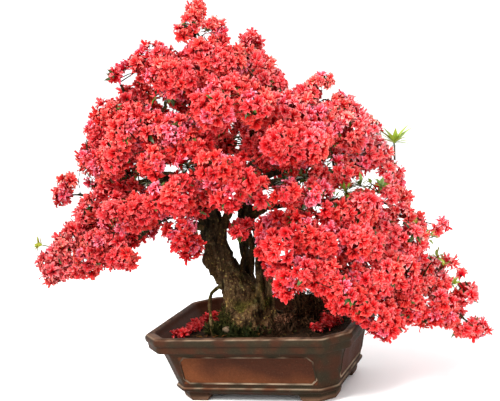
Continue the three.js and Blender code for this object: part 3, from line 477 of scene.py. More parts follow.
def leaf_material():
    return mottled("leaf", 0.42, 0.5, (120, 3, 0.5), 0.5, 0.7, 1.0, (0.0005, 0.5)).material


def moss_material():
    return mottled("moss", 0.95, 0.04, (300, 4, 0.7), 0.8, 0.4, 1.2, (0.002, 0.8)).material


def bark_material():
    shader = Shader("bark", 0.9, 0.05)
    streaks = shader.noise(38, 6, 0.65, (1, 1, 0.35))
    grain = shader.noise(210, 5, 0.7, (1, 1, 0.5))
    patches = shader.noise(24, 5, 0.6)
    flecks = shader.noise(135, 3, 0.6)
    base = shader.mix(shader.ramp(streaks, (0.35, 0.0), (0.68, 1.0)), srgb(78, 57, 39), srgb(140, 108, 74))
    lichen = shader.mix(shader.ramp(patches, (0.54, 0.0), (0.68, 0.8)), base, srgb(178, 158, 116))
    flecked = shader.mix(shader.ramp(flecks, (0.6, 0.0), (0.66, 0.9)), lichen, srgb(206, 180, 104))
    grained = shader.mix(0.9, flecked, shader.ramp(grain, (0.34, 0.15), (0.64, 1.45)), "MULTIPLY")
    shader.colour(shader.mix(1.0, grained, shader.tint(), "MULTIPLY"))
    shader.bump(grain, 0.0022, 0.8)
    return shader.material


def clay_material():
    shader = Shader("clay", 0.64, 0.04)
    broad = shader.noise(9, 5, 0.6)
    fine = shader.noise(160, 5, 0.7)
    specks = shader.noise(420, 2, 0.5)
    worn = shader.mix(0.6, shader.tint(), shader.ramp(broad, (0.3, 0.62), (0.7, 1.1)), "MULTIPLY")
    mottled = shader.mix(0.55, worn, shader.ramp(fine, (0.3, 0.6), (0.72, 1.2)), "MULTIPLY")
    shader.colour(shader.mix(shader.ramp(specks, (0.68, 0.0), (0.76, 0.35)), mottled, srgb(150, 118, 92)))
    rough = shader.ramp(broad, (0.35, 0.48), (0.7, 0.72))
    shader.link(rough, shader.surface.inputs["Roughness"])
    shader.bump(fine, 0.0009, 0.7)
    return shader.material


def soil_material():
    shader = Shader("soil", 0.95, 0.05)
    lumps = shader.noise(90, 6, 0.75)
    colour = shader.ramp(lumps, (0.3, srgb(18, 12, 8)), (0.55, srgb(48, 34, 23)), (0.75, srgb(92, 70, 48)))
    shader.colour(shader.mix(1.0, colour, shader.tint(), "MULTIPLY"))
    shader.bump(lumps, 0.004, 0.9)
    return shader.material


def stone_material():
    shader = Shader("stone", 0.8, 0.3)
    grain = shader.noise(130, 6, 0.7)
    dark, middle, pale = srgb(64, 52, 40), srgb(112, 92, 70), srgb(156, 136, 110)
    shader.colour(shader.ramp(grain, (0.3, dark), (0.55, middle), (0.75, pale)))
    shader.bump(grain, 0.001, 0.7)
    return shader.material


def net_material():
    shader = Shader("net", 0.8, 0.3)
    grain = shader.noise(500, 2, 0.5)
    shader.colour(shader.ramp(grain, (0.3, srgb(26, 28, 28)), (0.7, srgb(44, 46, 46))))
    return shader.material


# Flowers
def petal_width(v):
    """How wide a petal is at a place along it, as a share of its widest."""
    return math.sin(math.pi * (0.12 + 0.76 * v)) ** 0.85


def petal_sheet(rng, turn, length, width, rise, curl, columns, rows):
    """One wavy petal, from the throat to its pointed tip, with each point's place along and across it."""
    lean = rng.uniform(-0.16, 0.16)
    wave = rng.uniform(0, 2 * math.pi)
    ruffle = rng.uniform(0.06, 0.15)
    fold = rng.uniform(0.08, 0.22)
    bend = rng.uniform(0.6, 1.5) * curl
    points, shares = [], []
    for row in range(rows + 1):
        v = row / rows
        for column in range(columns + 1):
            u = 2 * column / columns - 1
            reach = length * (0.06 + 0.94 * v - 0.13 * u * u * v ** 3)
            across = u * width * petal_width(v) + lean * v * v
            height = rise * math.sin(min(1.0, 1.15 * v) * math.pi / 2) - bend * v ** 3
            height += fold * v * u * u + ruffle * v * math.sin(3.1 * u + 5 * v + wave)
            points.append((reach * math.cos(turn) - across * math.sin(turn),
                           reach * math.sin(turn) + across * math.cos(turn), height))
            shares.append((v, abs(u)))
    return points, stitch(rows + 1, columns + 1), shares


def tube(points, radii, sides):
    """A closed tube through the points, with a radius at each."""
    side = None
    ring_points = []
    for index, point in enumerate(points):
        ahead = points[min(index + 1, len(points) - 1)] - points[max(index - 1, 0)]
        ahead.normalize()
        if side is None:
            side = ahead.orthogonal().normalized()
        side = (side - ahead * side.dot(ahead)).normalized()
        across = ahead.cross(side)
        for corner in range(sides):
            angle = 2 * math.pi * corner / sides
            ring_points.append(point + (side * math.cos(angle) + across * math.sin(angle)) * radii[index])
    return ring_points, stitch_closed(len(points), sides)


def blend_colours(shares):
    """Deep in the throat, partly the flower's own colour and partly painted shade between the petals, coral
    along the petal, and paler at its tip and edges, the edges partly their own colour and partly a painted
    highlight.
    """
    along, aside = np.asarray(shares)[:, 0:1], np.asarray(shares)[:, 1:2]
    deep, mid, tip, edge = (np.array([colour]) for colour in (PETAL_THROAT_AND_SHADE, PETAL_MID, PETAL_TIP, PETAL_EDGE_AND_HIGHLIGHT))
    colours = deep + (mid - deep) * np.clip((along - 0.1) / 0.5, 0, 1)
    colours = colours + (tip - colours) * np.clip((along - 0.62) / 0.38, 0, 1) * 0.75
    return colours + (edge - colours) * 0.34 * aside * np.clip(along / 0.5 - 0.5, 0, 1)


def bloom_template(seed, stamens):
    """One flower of unit radius, opening along +Z, with rows of pointed petals one within another."""
    rng = random.Random(seed)
    sheets = Sheets()
    for ring, (petals, length, width, rise, curl, rows) in enumerate(PETAL_RINGS):
        for petal in range(petals):
            turn = 2 * math.pi * (petal + 0.5 * ring) / petals + rng.uniform(-0.25, 0.25)
            grown = rng.uniform(0.8, 1.12)
            lifted = rise * rng.uniform(0.6, 1.35)
            points, faces, shares = petal_sheet(rng, turn, length * grown, width, lifted, curl, 2, rows)
            sheets.add(points, faces, blend_colours(shares) * rng.uniform(0.86, 1.08))
    for _ in range(stamens):
        turn = rng.uniform(0, 2 * math.pi)
        out = Vector((math.cos(turn), math.sin(turn), 0))
        foot = out * 0.05 + UP * 0.1
        tip = out * rng.uniform(0.15, 0.4) + UP
        side = Vector((-out.y, out.x, 0)) * 0.03
        sheets.add([foot - side, foot + side, tip + side, tip - side], [(0, 1, 2), (0, 2, 3)], STAMEN)
    return np.concatenate(sheets.points), np.concatenate(sheets.faces), np.concatenate(sheets.colours)


def facing(direction, spin):
    """The turn that brings +Z to a direction, spun about it."""
    return direction.to_track_quat("Z", "Y").to_matrix() @ Matrix.Rotation(spin, 3, "Z")


def add_bloom(sheets, template, where, turn, size, shade, glow=0):
    """A copy of a flower or petal, with its colours multiplied by the shade and a glow added to them."""
    points, faces, colours = template
    placed = points @ np.array(turn).T * size + np.array(where)
    sheets.add(placed, faces, colours * np.array(shade) + np.array(glow))


def cloud_spheres():
    """Spheres strung along each cloud, as (x, y, z, radius) in metres, and the cloud of each."""
    rows, owner = [], []
    for cloud, heads in CLOUDS.items():
        chain = [(place(*head[:3]), head[3] * MM * HEAD_SWELL) for head in heads]
        for (start, first), (end, second) in zip(chain, chain[1:] or chain):
            count = max(1, math.ceil((end - start).length / HEAD_STEP))
            for step in range(count + 1):
                t = step / count
                middle, radius = start.lerp(end, t), first + (second - first) * t
                if "back" in cloud:
                    radius *= 1 + BACK_SWELL * noise.noise(middle * 17)
                    middle = middle + noise.noise_vector(middle * 12) * BACK_SHIFT
                rows.append((*middle, radius))
                owner.append(cloud)
    return np.array(rows), owner


def bloom_places(spheres, owner):
    """Evenly spread places on the outside of the clouds, facing out of them."""
    rng = np.random.default_rng(5)
    heart = np.array(place(*CROWN_HEART))
    spots = []
    for (x, y, z, radius), cloud in zip(spheres, owner):
        centre = np.array((x, y, z))
        ways = rng.normal(size=(int(FEWEST_SPOTS + MORE_SPOTS * (radius / USUAL_HEAD) ** 2), 3))
        ways /= np.linalg.norm(ways, axis=1)[:, None]
        out = centre - heart
        out /= np.linalg.norm(out)
        for way in ways[ways @ out > BARE_SIDE]:
            ripple = 1 + HEAD_RIPPLE * noise.noise(Vector(way * 1.6 + centre * 24))
            spots.append((*(centre + way * radius * ripple), *way, cloud))
    rng.shuffle(spots)
    places = np.array([spot[:3] for spot in spots], float)
    outside = np.full(len(places), 1.0)
    for x, y, z, radius in spheres:
        outside = np.minimum(outside, np.linalg.norm(places - (x, y, z), axis=1) - radius)
    taken, kept = {}, []
    steps = (-1, 0, 1)
    for spot, where, away in zip(spots, places, outside):
        if away < -BURIED:
            continue
        cell = tuple(np.floor(where / BLOOM_SPACING).astype(int))
        near = (taken.get((cell[0] + a, cell[1] + b, cell[2] + c), ())
                for a in steps for b in steps for c in steps)
        if any(np.linalg.norm(where - other) < BLOOM_SPACING for group in near for other in group):
            continue
        taken.setdefault(cell, []).append(where)
        if not in_gap(Vector(where)):
            kept.append(spot)
    return kept


def painted_crown_light(where):
    """Painted light and shade on the flowers: how bright and how pale they are painted here. They are painted
    brighter and paler towards the crown's top and rims, where light falls, and deeper in the heart of the
    crown, where shade falls.

    The factors began as a least-squares fit to the photograph's mean flower colours.
    """
    local = where - MIDDLE
    x = (local.x * math.cos(TREE_TURN) + local.y * math.sin(TREE_TURN)) / (600 * MM)
    u = (local.z / MM - 600) / 500
    bright = math.exp(0.33 * x + 0.12 * u + 0.2 * x * x)
    rim = x * x * (0.8 if x > 0 else 1.3)
    tip = 2.4 * max(0, x - 0.5) * max(0, -u - 0.5)
    pale = -0.5 + 0.25 * x + 0.3 * u + rim + 0.35 * u * u + 0.5 * x * u - tip
    return bright, math.exp(clamp(pale, -0.6, 0.4))


def make_inner_petals(material, spheres):
    """Loose petals inside the clouds in the deep red of painted shade, so that what shows between the flowers
    is deep red.
    """
    rng = random.Random(91)
    sheets = Sheets()
    for x, y, z, radius in spheres.tolist():
        for _ in range(round(INNER_PETALS * (radius / 0.04) ** 2)):
            out = Vector((rng.gauss(0, 1), rng.gauss(0, 1), rng.gauss(0, 1))).normalized()
            where = Vector((x, y, z)) + out * radius * rng.uniform(0.25, 0.7)
            if in_gap(where):
                continue
            way = (out + any_way(rng)).normalized()
            # Painted shade: the inner petals all take the deep red, darkened or lightened at random
            petal = (*leaf_blade(26 * MM, 9 * MM, 0.3, 0.1, 1), np.array(PETAL_THROAT_AND_SHADE))
            add_bloom(sheets, petal, where, facing(way, any_turn(rng)), 1, rng.uniform(0.7, 1.5), INNER_PALE)
    sheets.finish("inner_petals_painted_shade", material, "petals")


def make_flowers(material):
    """The flowers. It returns the clouds' spheres, each flower's foot and way, and the templates."""
    rng = random.Random(21)
    spheres, owner = cloud_spheres()
    templates = [bloom_template(100 + variant, 3 if variant % 2 else 5) for variant in range(VARIANTS)]
    heart = place(*CROWN_HEART)
    clouds, anchors = {}, []
    for spot in bloom_places(spheres, owner):
        where, way, cloud = Vector(spot[:3]), Vector(spot[3:6]), spot[6]
        jitter = any_way(rng) * 0.32
        outward = (where - heart).normalized()
        way = (way + outward * 0.25 + UP * 0.18 + jitter).normalized()
        size = BLOOM_RADIUS * rng.uniform(0.8, 1.14)
        # Painted light: a flower that faces up is painted brighter and pinker, and one that faces down deeper
        # red
        tone = rng.uniform(0.8, 1.04) + 0.22 * noise.noise(where * 14) + 0.13 * way.z
        # Painted light and shade: the flowers are painted brighter and paler where light falls on the crown,
        # and deeper in its heart
        bright, pale = painted_crown_light(where)
        tone *= bright
        warm = (rng.uniform(0.76, 1.16) + 0.1 * way.z) * tone * pale
        shade = Vector((tone * 0.93, tone * warm, tone * warm * rng.uniform(0.85, 1.2)))
        if rng.random() < PINK_SHARE:
            shade = Vector(PINK_SHADE) * tone
        sunk = where - way * (BLOOM_SINK + rng.uniform(-4, 8) * MM)
        if rng.random() < PROUD_SHARE:
            sunk += way * rng.uniform(4, 12) * MM
        template = templates[rng.randrange(VARIANTS)]
        clouds.setdefault(cloud, []).append((template, sunk, facing(way, any_turn(rng)), size, shade))
        anchors.append((sunk, way))
    for cloud, blooms in clouds.items():
        sheets = Sheets()
        for bloom in blooms:
            add_bloom(sheets, *bloom)
        nodes = [node for node in (f"blossom_{cloud}",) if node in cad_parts]
        sheets.finish(f"flowers_{cloud}", material, "petals", *nodes)
    return spheres, anchors, templates


# Wood
WOOD_VOXEL = 3.4 * MM


def remeshed(node, voxel):
    """The node's own solid as an even skin, in arrays."""
    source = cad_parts[node]
    obj = link("skin", source.data.copy())
    skin = obj.modifiers.new("skin", "REMESH")
    skin.mode = "VOXEL"
    skin.voxel_size = voxel
    skin.use_smooth_shade = True
    smooth = obj.modifiers.new("even", "SMOOTH")
    smooth.factor = 0.5
    smooth.iterations = 4
    mesh = bpy.data.meshes.new_from_object(obj.evaluated_get(bpy.context.evaluated_depsgraph_get()))
    bpy.data.objects.remove(obj)
    mesh.calc_loop_triangles()
    points = np.zeros(len(mesh.vertices) * 3)
    mesh.vertices.foreach_get("co", points)
    normals = np.zeros(len(mesh.vertices) * 3)
    mesh.vertex_normals.foreach_get("vector", normals)
    faces = np.zeros(len(mesh.loop_triangles) * 3, dtype=np.int32)
    mesh.loop_triangles.foreach_get("vertices", faces)
    triangles = [tuple(triangle.vertices) for triangle in mesh.loop_triangles]
    tree = BVHTree.FromPolygons([vertex.co for vertex in mesh.vertices], triangles)
    bpy.data.meshes.remove(mesh)
    return points.reshape(-1, 3), normals.reshape(-1, 3), faces.reshape(-1, 3), tree


def make_wood(material):
    """The wood with bark: furrows and knots as deep as each limb is thick, painted shade in the furrows and
    painted highlight on the ridges, moss and lichen low down, and the wood darker higher up.
    """
    points, normals, faces, tree = remeshed("wood", WOOD_VOXEL)
    moved, shades = np.array(points), np.ones((len(points), 3))
    for index, (point, normal) in enumerate(zip(points, normals)):
        where, out = Vector(point), Vector(normal)
        hit = tree.ray_cast(where - out * 0.5 * MM, -out, 0.2)
        thick = hit[3] if hit[0] is not None else 10 * MM
        depth = clamp(thick * 0.15, 0.3 * MM, 8.5 * MM)
        broad = noise.noise(Vector((where.x * 17, where.y * 17, where.z * 8)))
        knots = noise.noise(Vector((where.x * 42, where.y * 42, where.z * 24 + 7)))
        furrow = abs(noise.noise(Vector((where.x * 85, where.y * 85, where.z * 21))))
        fine = noise.noise(where * 190)
        relief = 0.9 * broad + 0.8 * knots + 1.3 * (0.22 - furrow) + 0.35 * fine
        moved[index] = where + out * (relief * depth)
        # Painted shade and highlight: the bark is painted darker where the relief sinks and lighter where it
        # rises
        light = 0.95 + 1.1 * clamp(relief, -0.72, 0.75)
        shade = Vector((light, light, light))
        foot, low_down = clamp((0.30 - where.z) / 0.12), clamp((0.42 - where.z) / 0.2)
        grey = foot * clamp(0.5 + 1.6 * noise.noise(where * 30 + Vector((3, 1, 2))))
        shade = shade.lerp(Vector((1.9, 1.75, 1.45)) * light, 0.75 * grey)
        green = max(0.0, noise.noise(where * 26 + Vector((9, 4, 1))) - 0.12) * 2.4 * low_down
        shade = shade.lerp(Vector((0.65, 1.0, 0.35)) * light, min(0.8, green))
        shades[index] = shade * (0.15 + 0.23 * low_down)
    sheets = Sheets()
    sheets.add(moved, faces, shades)
    sheets.finish("wood_bark", material, "bark", "wood")
    return tree


# Stems beside the trunk: (right, toward, up, radius) along each
SIDE_STEMS = (
    ((-22, -40, 452, 10), (-12, -18, 424, 10), (-10, 0, 396, 9), (-14, 12, 362, 7), (-20, 22, 320, 6)),
    ((-58, 16, 322, 10), (-44, 12, 350, 9), (-34, 0, 376, 7), (-30, -30, 404, 6)),
    ((24, 4, 430, 7), (18, 8, 376, 7), (10, 14, 310, 8), (4, 18, 250, 9), (2, 20, 200, 11)),
    ((-92, 20, 430, 16), (-84, 30, 470, 14), (-70, 36, 500, 12), (-52, 40, 526, 9)),
    ((-20, 6, 466, 14), (0, 14, 490, 13), (20, 20, 500, 12), (44, 24, 512, 9)),
    ((-112, -5, 440, 18), (-138, 0, 472, 13), (-172, 5, 488, 9)),
    ((-118, 8, 440, 16), (-124, 12, 412, 23), (-126, 12, 384, 25), (-120, 10, 352, 20), (-110, 8, 326, 14)),
)
STEM_BROWN = (0.17, 0.15, 0.12)
STEM_GREEN = (0.2, 0.23, 0.1)
GREEN_STEM = 2
STEM_STEPS = 5
ROOT_COUNT = 74
ROOT_STEP = 8 * MM
ROOT_STEPS = 26
ROOT_FOOT = 105 * MM
TWIG_REACH = 160 * MM
TWIG_EVERY = 3
TWIG_COLOUR = (0.42, 0.36, 0.33)


def root_path(rng, tree):
    """Points down the foot of the trunk from a place on it, then out over the soil."""
    turn = rng.uniform(0, 2 * math.pi)
    out = place(math.cos(turn), math.sin(turn), 0) - place(0, 0, 0)
    out.normalize()
    centre = place(*ROOT_CENTRE, 0)
    start = centre + out * 0.3
    start.z = soil_height(centre) + rng.uniform(30, 95) * MM
    here, normal, _, _ = tree.find_nearest(start)
    if math.hypot(here.x - centre.x, here.y - centre.y) > ROOT_FOOT:
        return None
    reach = rng.uniform(2, 9)
    lean = rng.uniform(-0.5, 0.5)
    path = [here - normal * 2 * MM]
    on_ground = 0
    while len(path) < ROOT_STEPS and on_ground < reach:
        lean += rng.uniform(-0.3, 0.3)
        aside = Vector((-out.y, out.x, 0)) * lean
        ground = soil_height(path[-1])
        if path[-1].z > ground + 6 * MM:
            goal = path[-1] + (Vector((0, 0, -1)) + out * 0.35 + aside * 0.5).normalized() * ROOT_STEP
            near, normal, _, away = tree.find_nearest(goal)
            goal = near + normal * 3 * MM if away < 14 * MM else goal
        else:
            goal = path[-1] + (out + aside).normalized() * ROOT_STEP
            goal.z = soil_height(goal) + rng.uniform(-1.5, 2.5) * MM
            on_ground += 1
        path.append(goal)
    return path


def make_roots(material, tree):
    """Roots that run down the foot of the trunk and spread over the soil, and the stems beside it."""
    rng = random.Random(12)
    sheets = Sheets()
    for _ in range(ROOT_COUNT):
        path = root_path(rng, tree)
        if path is None:
            continue
        thick = rng.uniform(2.4, 6.5)
        radii = []
        for step in range(len(path)):
            swell = 0.35 + 0.75 * math.sin(math.pi * (0.15 + 0.8 * step / len(path)))
            radii.append(thick * swell * rng.uniform(0.85, 1.15))
        tone = rng.uniform(0.25, 0.75)
        sheets.add_tube(path, radii, 7, (tone * 1.1, tone * 0.86, tone * 0.68))
    for index, stem in enumerate(SIDE_STEMS):
        path, radii = [], []
        for start, end in zip(stem, stem[1:]):
            for step in range(STEM_STEPS):
                t = step / STEM_STEPS
                here = Vector(start[:3]).lerp(Vector(end[:3]), t)
                path.append(place(*here) + noise.noise_vector(here / 18) * 3 * MM)
                radii.append((start[3] + (end[3] - start[3]) * t) * rng.uniform(0.85, 1.15))
        sheets.add_tube(path, radii, 9, STEM_GREEN if index == GREEN_STEM else STEM_BROWN)
    sheets.finish("root_fibres", material, "bark")


def make_twigs(material, tree, anchors):
    """Fine dark twigs from the wood to the flowers, so that the clouds hang on something."""
    rng = random.Random(8)
    sheets = Sheets()
    for where, way in anchors[::TWIG_EVERY]:
        near, _, _, away = tree.find_nearest(where)
        if near is None or away > TWIG_REACH:
            continue
        end = where - way * 4 * MM
        side = any_way(rng, -0.2, 1) * away * 0.16
        path = [near, near.lerp(end, 0.5) + side, near.lerp(end, 0.8) + side * 0.6, end]
        sheets.add_tube(path, (2.2, 1.6, 1.2, 0.8), 3, TWIG_COLOUR)
    sheets.finish("fine_twigs", material, "bark")


# Leaves
LEAF_DARK = srgb(44, 66, 24)
LEAF_MID = srgb(78, 108, 36)
LEAF_NEW = srgb(172, 196, 66)
SHOOT_STEM = srgb(96, 110, 48)
SHOOT_TWIG = srgb(74, 60, 40)
LEAFY_SHARE = 0.3
LEAF_TURN = 2.4


def leaf_blade(length, width, fold, droop, rows):
    """A pointed leaf along +X, folded a little along its rib."""
    points = []
    for row in range(rows + 1):
        v = row / rows
        half = width * math.sin(math.pi * min(1, 0.06 + 0.94 * v ** 0.8)) if row < rows else 0.04 * width
        for u in (-1, 0, 1):
            points.append((v * length, u * half, abs(u) * fold * half - droop * length * v * v))
    return np.array(points), np.array(stitch(rows + 1, 3))


def add_leaf(sheets, rng, base, way, up, length, colour, rows=3, slim=1.0):
    """A leaf from its base along a way, with its back to what is up."""
    along = way.normalized()
    side = along.cross(up)
    if side.length < 0.01:
        side = along.orthogonal()
    side.normalize()
    half = length * slim * rng.uniform(0.17, 0.23)
    fold, droop = rng.uniform(0.2, 0.5), rng.uniform(0.05, 0.25)
    points, faces = leaf_blade(length, half, fold, droop, rows)
    turn = np.array((along, side, side.cross(along)))
    sheets.add(points @ turn + np.array(base), faces, np.array(colour) * rng.uniform(0.75, 1.25))


def make_foliage(material, anchors):
    """Small leaves that show between the flowers."""
    rng = random.Random(31)
    sheets = Sheets()
    for where, way in anchors:
        if rng.random() > LEAFY_SHARE:
            continue
        for _ in range(rng.choice((2, 3))):
            spin = any_way(rng)
            across = (spin - way * spin.dot(way)).normalized()
            colour = Vector(LEAF_DARK).lerp(Vector(LEAF_MID), rng.random())
            base = where - way * rng.uniform(2, 9) * MM + across * 6 * MM
            lean = across + way * rng.uniform(0.0, 0.7)
            add_leaf(sheets, rng, base, lean, way, rng.uniform(20, 30) * MM, colour)
    sheets.finish("small_leaves", material, "leaf")


def make_sprigs(leaf, bark, tree):
    """Leafy sprigs in the gaps of the crown, each on a twig from the wood."""
    rng = random.Random(57)
    leaves, stems = Sheets(), Sheets()
    for across, down, toward, spread, count, pale in SPRIGS:
        heart = behind(across, down, toward)
        near, _, _, _ = tree.find_nearest(heart)
        bend = near.lerp(heart, 0.5) + UP * (heart - near).length * 0.1
        stems.add_tube([near, bend, heart], (2.4, 1.9, 1.3), 5, (0.34, 0.29, 0.24))
        for _ in range(count):
            out = any_way(rng, -0.7, 1).normalized()
            end = heart + out * spread * MM * rng.uniform(0.1, 0.9)
            stems.add_tube([heart, end], (0.7, 0.4), 3, (0.3, 0.27, 0.2))
            colour = Vector(LEAF_DARK).lerp(Vector(LEAF_NEW), min(1, pale * rng.uniform(0.3, 1.5)))
            way = out + Vector((rng.uniform(-0.5, 0.5), rng.uniform(-0.5, 0.5), rng.uniform(-0.2, 0.5)))
            add_leaf(leaves, rng, end, way, UP, rng.uniform(17, 30) * MM, colour)
    leaves.finish("sprig_leaves", leaf, "leaf")
    stems.finish("sprig_stems", bark, "bark")


# The pale young shoots. Each foot is in the tree's frame, and lengths are in millimetres.
SHOOTS = {
    "right_shoot": {"foot": (420, -20, 636), "way": (0.1, 0, 1), "leaves": 16, "long": 66, "stem": 6,
                    "open": (26, 84), "slim": 0.62, "twig": 42},
    "left_tip": {"foot": (-556, 60, 480), "way": (-1, 0, 0.35), "leaves": 9, "long": 34, "stem": 34},
    "right_inner": {"foot": (352, 60, 520), "way": (0.3, 0.4, 1), "leaves": 10, "long": 33, "stem": 24,
                    "pale": 0.25},
    "right_low": {"foot": (528, 45, 225), "way": (0.2, 0.5, 0.9), "leaves": 8, "long": 31, "stem": 20},
}


def make_shoots(leaf):
    """The pale young shoots that stand out of the crown."""
    for name, shoot in SHOOTS.items():
        rng = random.Random(name)
        foot = place(*shoot["foot"])
        rise = (place(*shoot["way"]) - place(0, 0, 0)).normalized()
        tip = foot + rise * shoot["stem"] * MM
        sheets = Sheets()
        sheets.add_tube([foot, foot.lerp(tip, 0.5), tip], (2.2, 1.8, 1.4), 6, SHOOT_STEM)
        if "twig" in shoot:
            heel = foot - Vector((0.1, 0, 1)).normalized() * shoot["twig"] * MM
            sheets.add_tube([heel, foot.lerp(heel, 0.5), foot], (3.4, 2.8, 2.4), 6, SHOOT_TWIG)
        flat = rise.orthogonal().normalized()
        for index in range(shoot["leaves"]):
            turn = index * LEAF_TURN
            open_by = math.radians(rng.uniform(*shoot.get("open", (28, 74))))
            out = flat * math.cos(turn) + rise.cross(flat) * math.sin(turn)
            way = out * math.sin(open_by) + rise * math.cos(open_by)
            base = tip - rise * rng.uniform(0, 0.4) * (tip - foot).length
            colour = Vector(LEAF_MID).lerp(Vector(LEAF_NEW), rng.uniform(0.55, 1) * shoot.get("pale", 1))
            length = shoot["long"] * rng.uniform(0.7, 1.05) * MM
            add_leaf(sheets, rng, base, way, rise, length, colour, 5, shoot.get("slim", 1))
        sheets.finish(f"shoot_{name}", leaf, "leaf", f"leaves_{name}")


# The pot. Its sizes are in millimetres, with insets from the rim's outer length and depth.
CORNER_ROUND = 5
WALL = 20
FLOOR_TOP = 42
FLOOR_UNDER = 18
BODY_TOP, BODY_TOP_INSET = 152, 36
BODY_BOTTOM, BODY_BOTTOM_INSET = 42, 64
DRAIN_RADIUS = 20
DRAIN_SPACING = 240

# The raised frame lines half-way up the long and the short sides
FRAME_MARGIN = 116
FRAME_INSET = (BODY_TOP_INSET + BODY_BOTTOM_INSET) / 2
FRAME_HIGH = BODY_TOP - BODY_BOTTOM - 26
FRAME_LONG = POT_LENGTH / MM - 2 * FRAME_INSET - FRAME_MARGIN
FRAME_SHORT = POT_DEPTH / MM - 2 * FRAME_INSET - FRAME_MARGIN
FRAME_NOTCH = 14

# The frame line's section, across it and proud of the clay
FRAME_SECTION = ((-2.8, -1.2), (-2.0, 0.9), (-0.7, 1.8), (0.7, 1.8), (2.0, 0.9), (2.8, -1.2))

# The feet: height, inset and how far each leg reaches along its side
FOOT_ROWS = ((0, 79.5, 44), (1.5, 78, 46), (9, 76, 52), (17, 74.5, 57), (24, 74, 58))
FOOT_CUT = 36
FOOT_DEEP = 34
FOOT_NOTCH = 8
FOOT_WORN = 12

RING_POINTS = 224
CLAY = srgb(64, 35, 23)
CLAY_WARM = srgb(100, 56, 32)
CLAY_GREY = srgb(46, 39, 28)
CLAY_PAINTED_SHADE = srgb(42, 25, 17)
CLAY_PALE = srgb(108, 80, 62)
CLAY_LINE = srgb(150, 130, 108)


def cut_corners(x, y, cut):
    """The eight corners of a rectangle whose own corners are cut off."""
    return [(x, -y + cut), (x, y - cut), (x - cut, y), (-x + cut, y),
            (-x, y - cut), (-x, -y + cut), (-x + cut, -y), (x - cut, -y)]


def pot_outline(inset, cut, height):
    """The cut-cornered outline with each corner rounded a little, and points along its sides."""
    corners = cut_corners(POT_LENGTH / MM / 2 - inset, POT_DEPTH / MM / 2 - inset, cut)
    points = []
    for index, corner in enumerate(corners):
        here = Vector(corner)
        before = (Vector(corners[index - 1]) - here).normalized() * CORNER_ROUND
        beyond = Vector(corners[(index + 1) % 8]) - here
        after = beyond.normalized() * CORNER_ROUND
        for t in (0, 0.35, 0.65, 1):
            points.append(here + before * (1 - t) ** 2 + after * t * t)
        along = max(2, 2 * round(beyond.length / 26))
        far = beyond - beyond.normalized() * CORNER_ROUND
        points.extend(here + after.lerp(far, step / along) for step in range(1, along))
    return [(p.x, p.y, height) for p in points]


def pot_ring(inset, cut, height, count=RING_POINTS):
    """The same outline with a fixed number of points, so that rings can be joined."""
    points = [Vector(p) for p in pot_outline(inset, cut, height)]
    lengths = [0.0]
    for index, point in enumerate(points):
        lengths.append(lengths[-1] + (points[(index + 1) % len(points)] - point).length)
    ring, segment = [], 0
    for step in range(count):
        goal = lengths[-1] * step / count
        while lengths[segment + 1] < goal:
            segment += 1
        t = (goal - lengths[segment]) / (lengths[segment + 1] - lengths[segment])
        ring.append(points[segment].lerp(points[(segment + 1) % len(points)], t))
    return ring


def clay_tone(point, zone):
    """The colour of the fired clay: brown, greyed by age, with painted shade in the dark and inner zones,
    painted light on the body towards the left and lower down, and paler edges that are partly worn clay and
    partly a painted highlight.
    """
    clay, warm, grey, dark = Vector(CLAY), Vector(CLAY_WARM), Vector(CLAY_GREY), Vector(CLAY_PAINTED_SHADE)
    broad = noise.noise(point * 11 + Vector((4, 2, 8)))
    patch = noise.noise(point * 34 + Vector((1, 7, 3)))
    if zone == "margin":
        return clay.lerp(grey, clamp(0.65 + 1.2 * patch, 0.2))
    # Painted shade: the dark zone is painted dark where shade falls, in grooves, under the lip and ledge and
    # down the inner wall
    if zone == "dark":
        return dark.lerp(grey, clamp(0.5 + patch))
    # Painted shade: the inside of the rim is darkened towards the shade colour
    if zone == "inner":
        return clay.lerp(warm, 0.2 + 0.6 * max(0, broad)).lerp(dark, 0.3)
    # The edge zone, on the rim's top and the feet's lower part, is paler: partly worn clay, partly a painted
    # highlight
    if zone == "edge":
        fine = noise.noise(point * 95 + Vector((6, 1, 5)))
        pale = clamp(0.5 + 1.1 * broad + 0.6 * patch + 0.8 * fine, 0.05)
        return clay.lerp(grey, 0.5).lerp(Vector(CLAY_PALE), pale)
    sunny = clamp(1.7 * (MIDDLE.x - point.x) / POT_LENGTH, -0.7, 0.5) - 0.5 * (point.z / MM - 97) / FRAME_HIGH
    body = clay.lerp(warm, clamp(0.3 + 0.9 * broad + sunny))
    # The worn zone's pale line on the ledge and lip edges is partly worn clay and partly a painted highlight
    return body.lerp(Vector(CLAY_LINE), clamp(0.5 + patch, 0.1, 0.9)) if zone == "worn" else body


def in_panel(point, height):
    """Whether a point of the pot's side, in millimetres from its middle, is inside a frame line."""
    if abs(height - (BODY_TOP + BODY_BOTTOM) / 2) > FRAME_HIGH / 2:
        return False
    slant = BODY_BOTTOM_INSET - BODY_TOP_INSET
    inset = BODY_TOP_INSET + slant * (BODY_TOP - height) / (BODY_TOP - BODY_BOTTOM)
    if abs(point.y) > POT_DEPTH / MM / 2 - inset - 1.5:
        return abs(point.x) < FRAME_LONG / 2
    if abs(point.x) > POT_LENGTH / MM / 2 - inset - 1.5:
        return abs(point.y) < FRAME_SHORT / 2
    return False


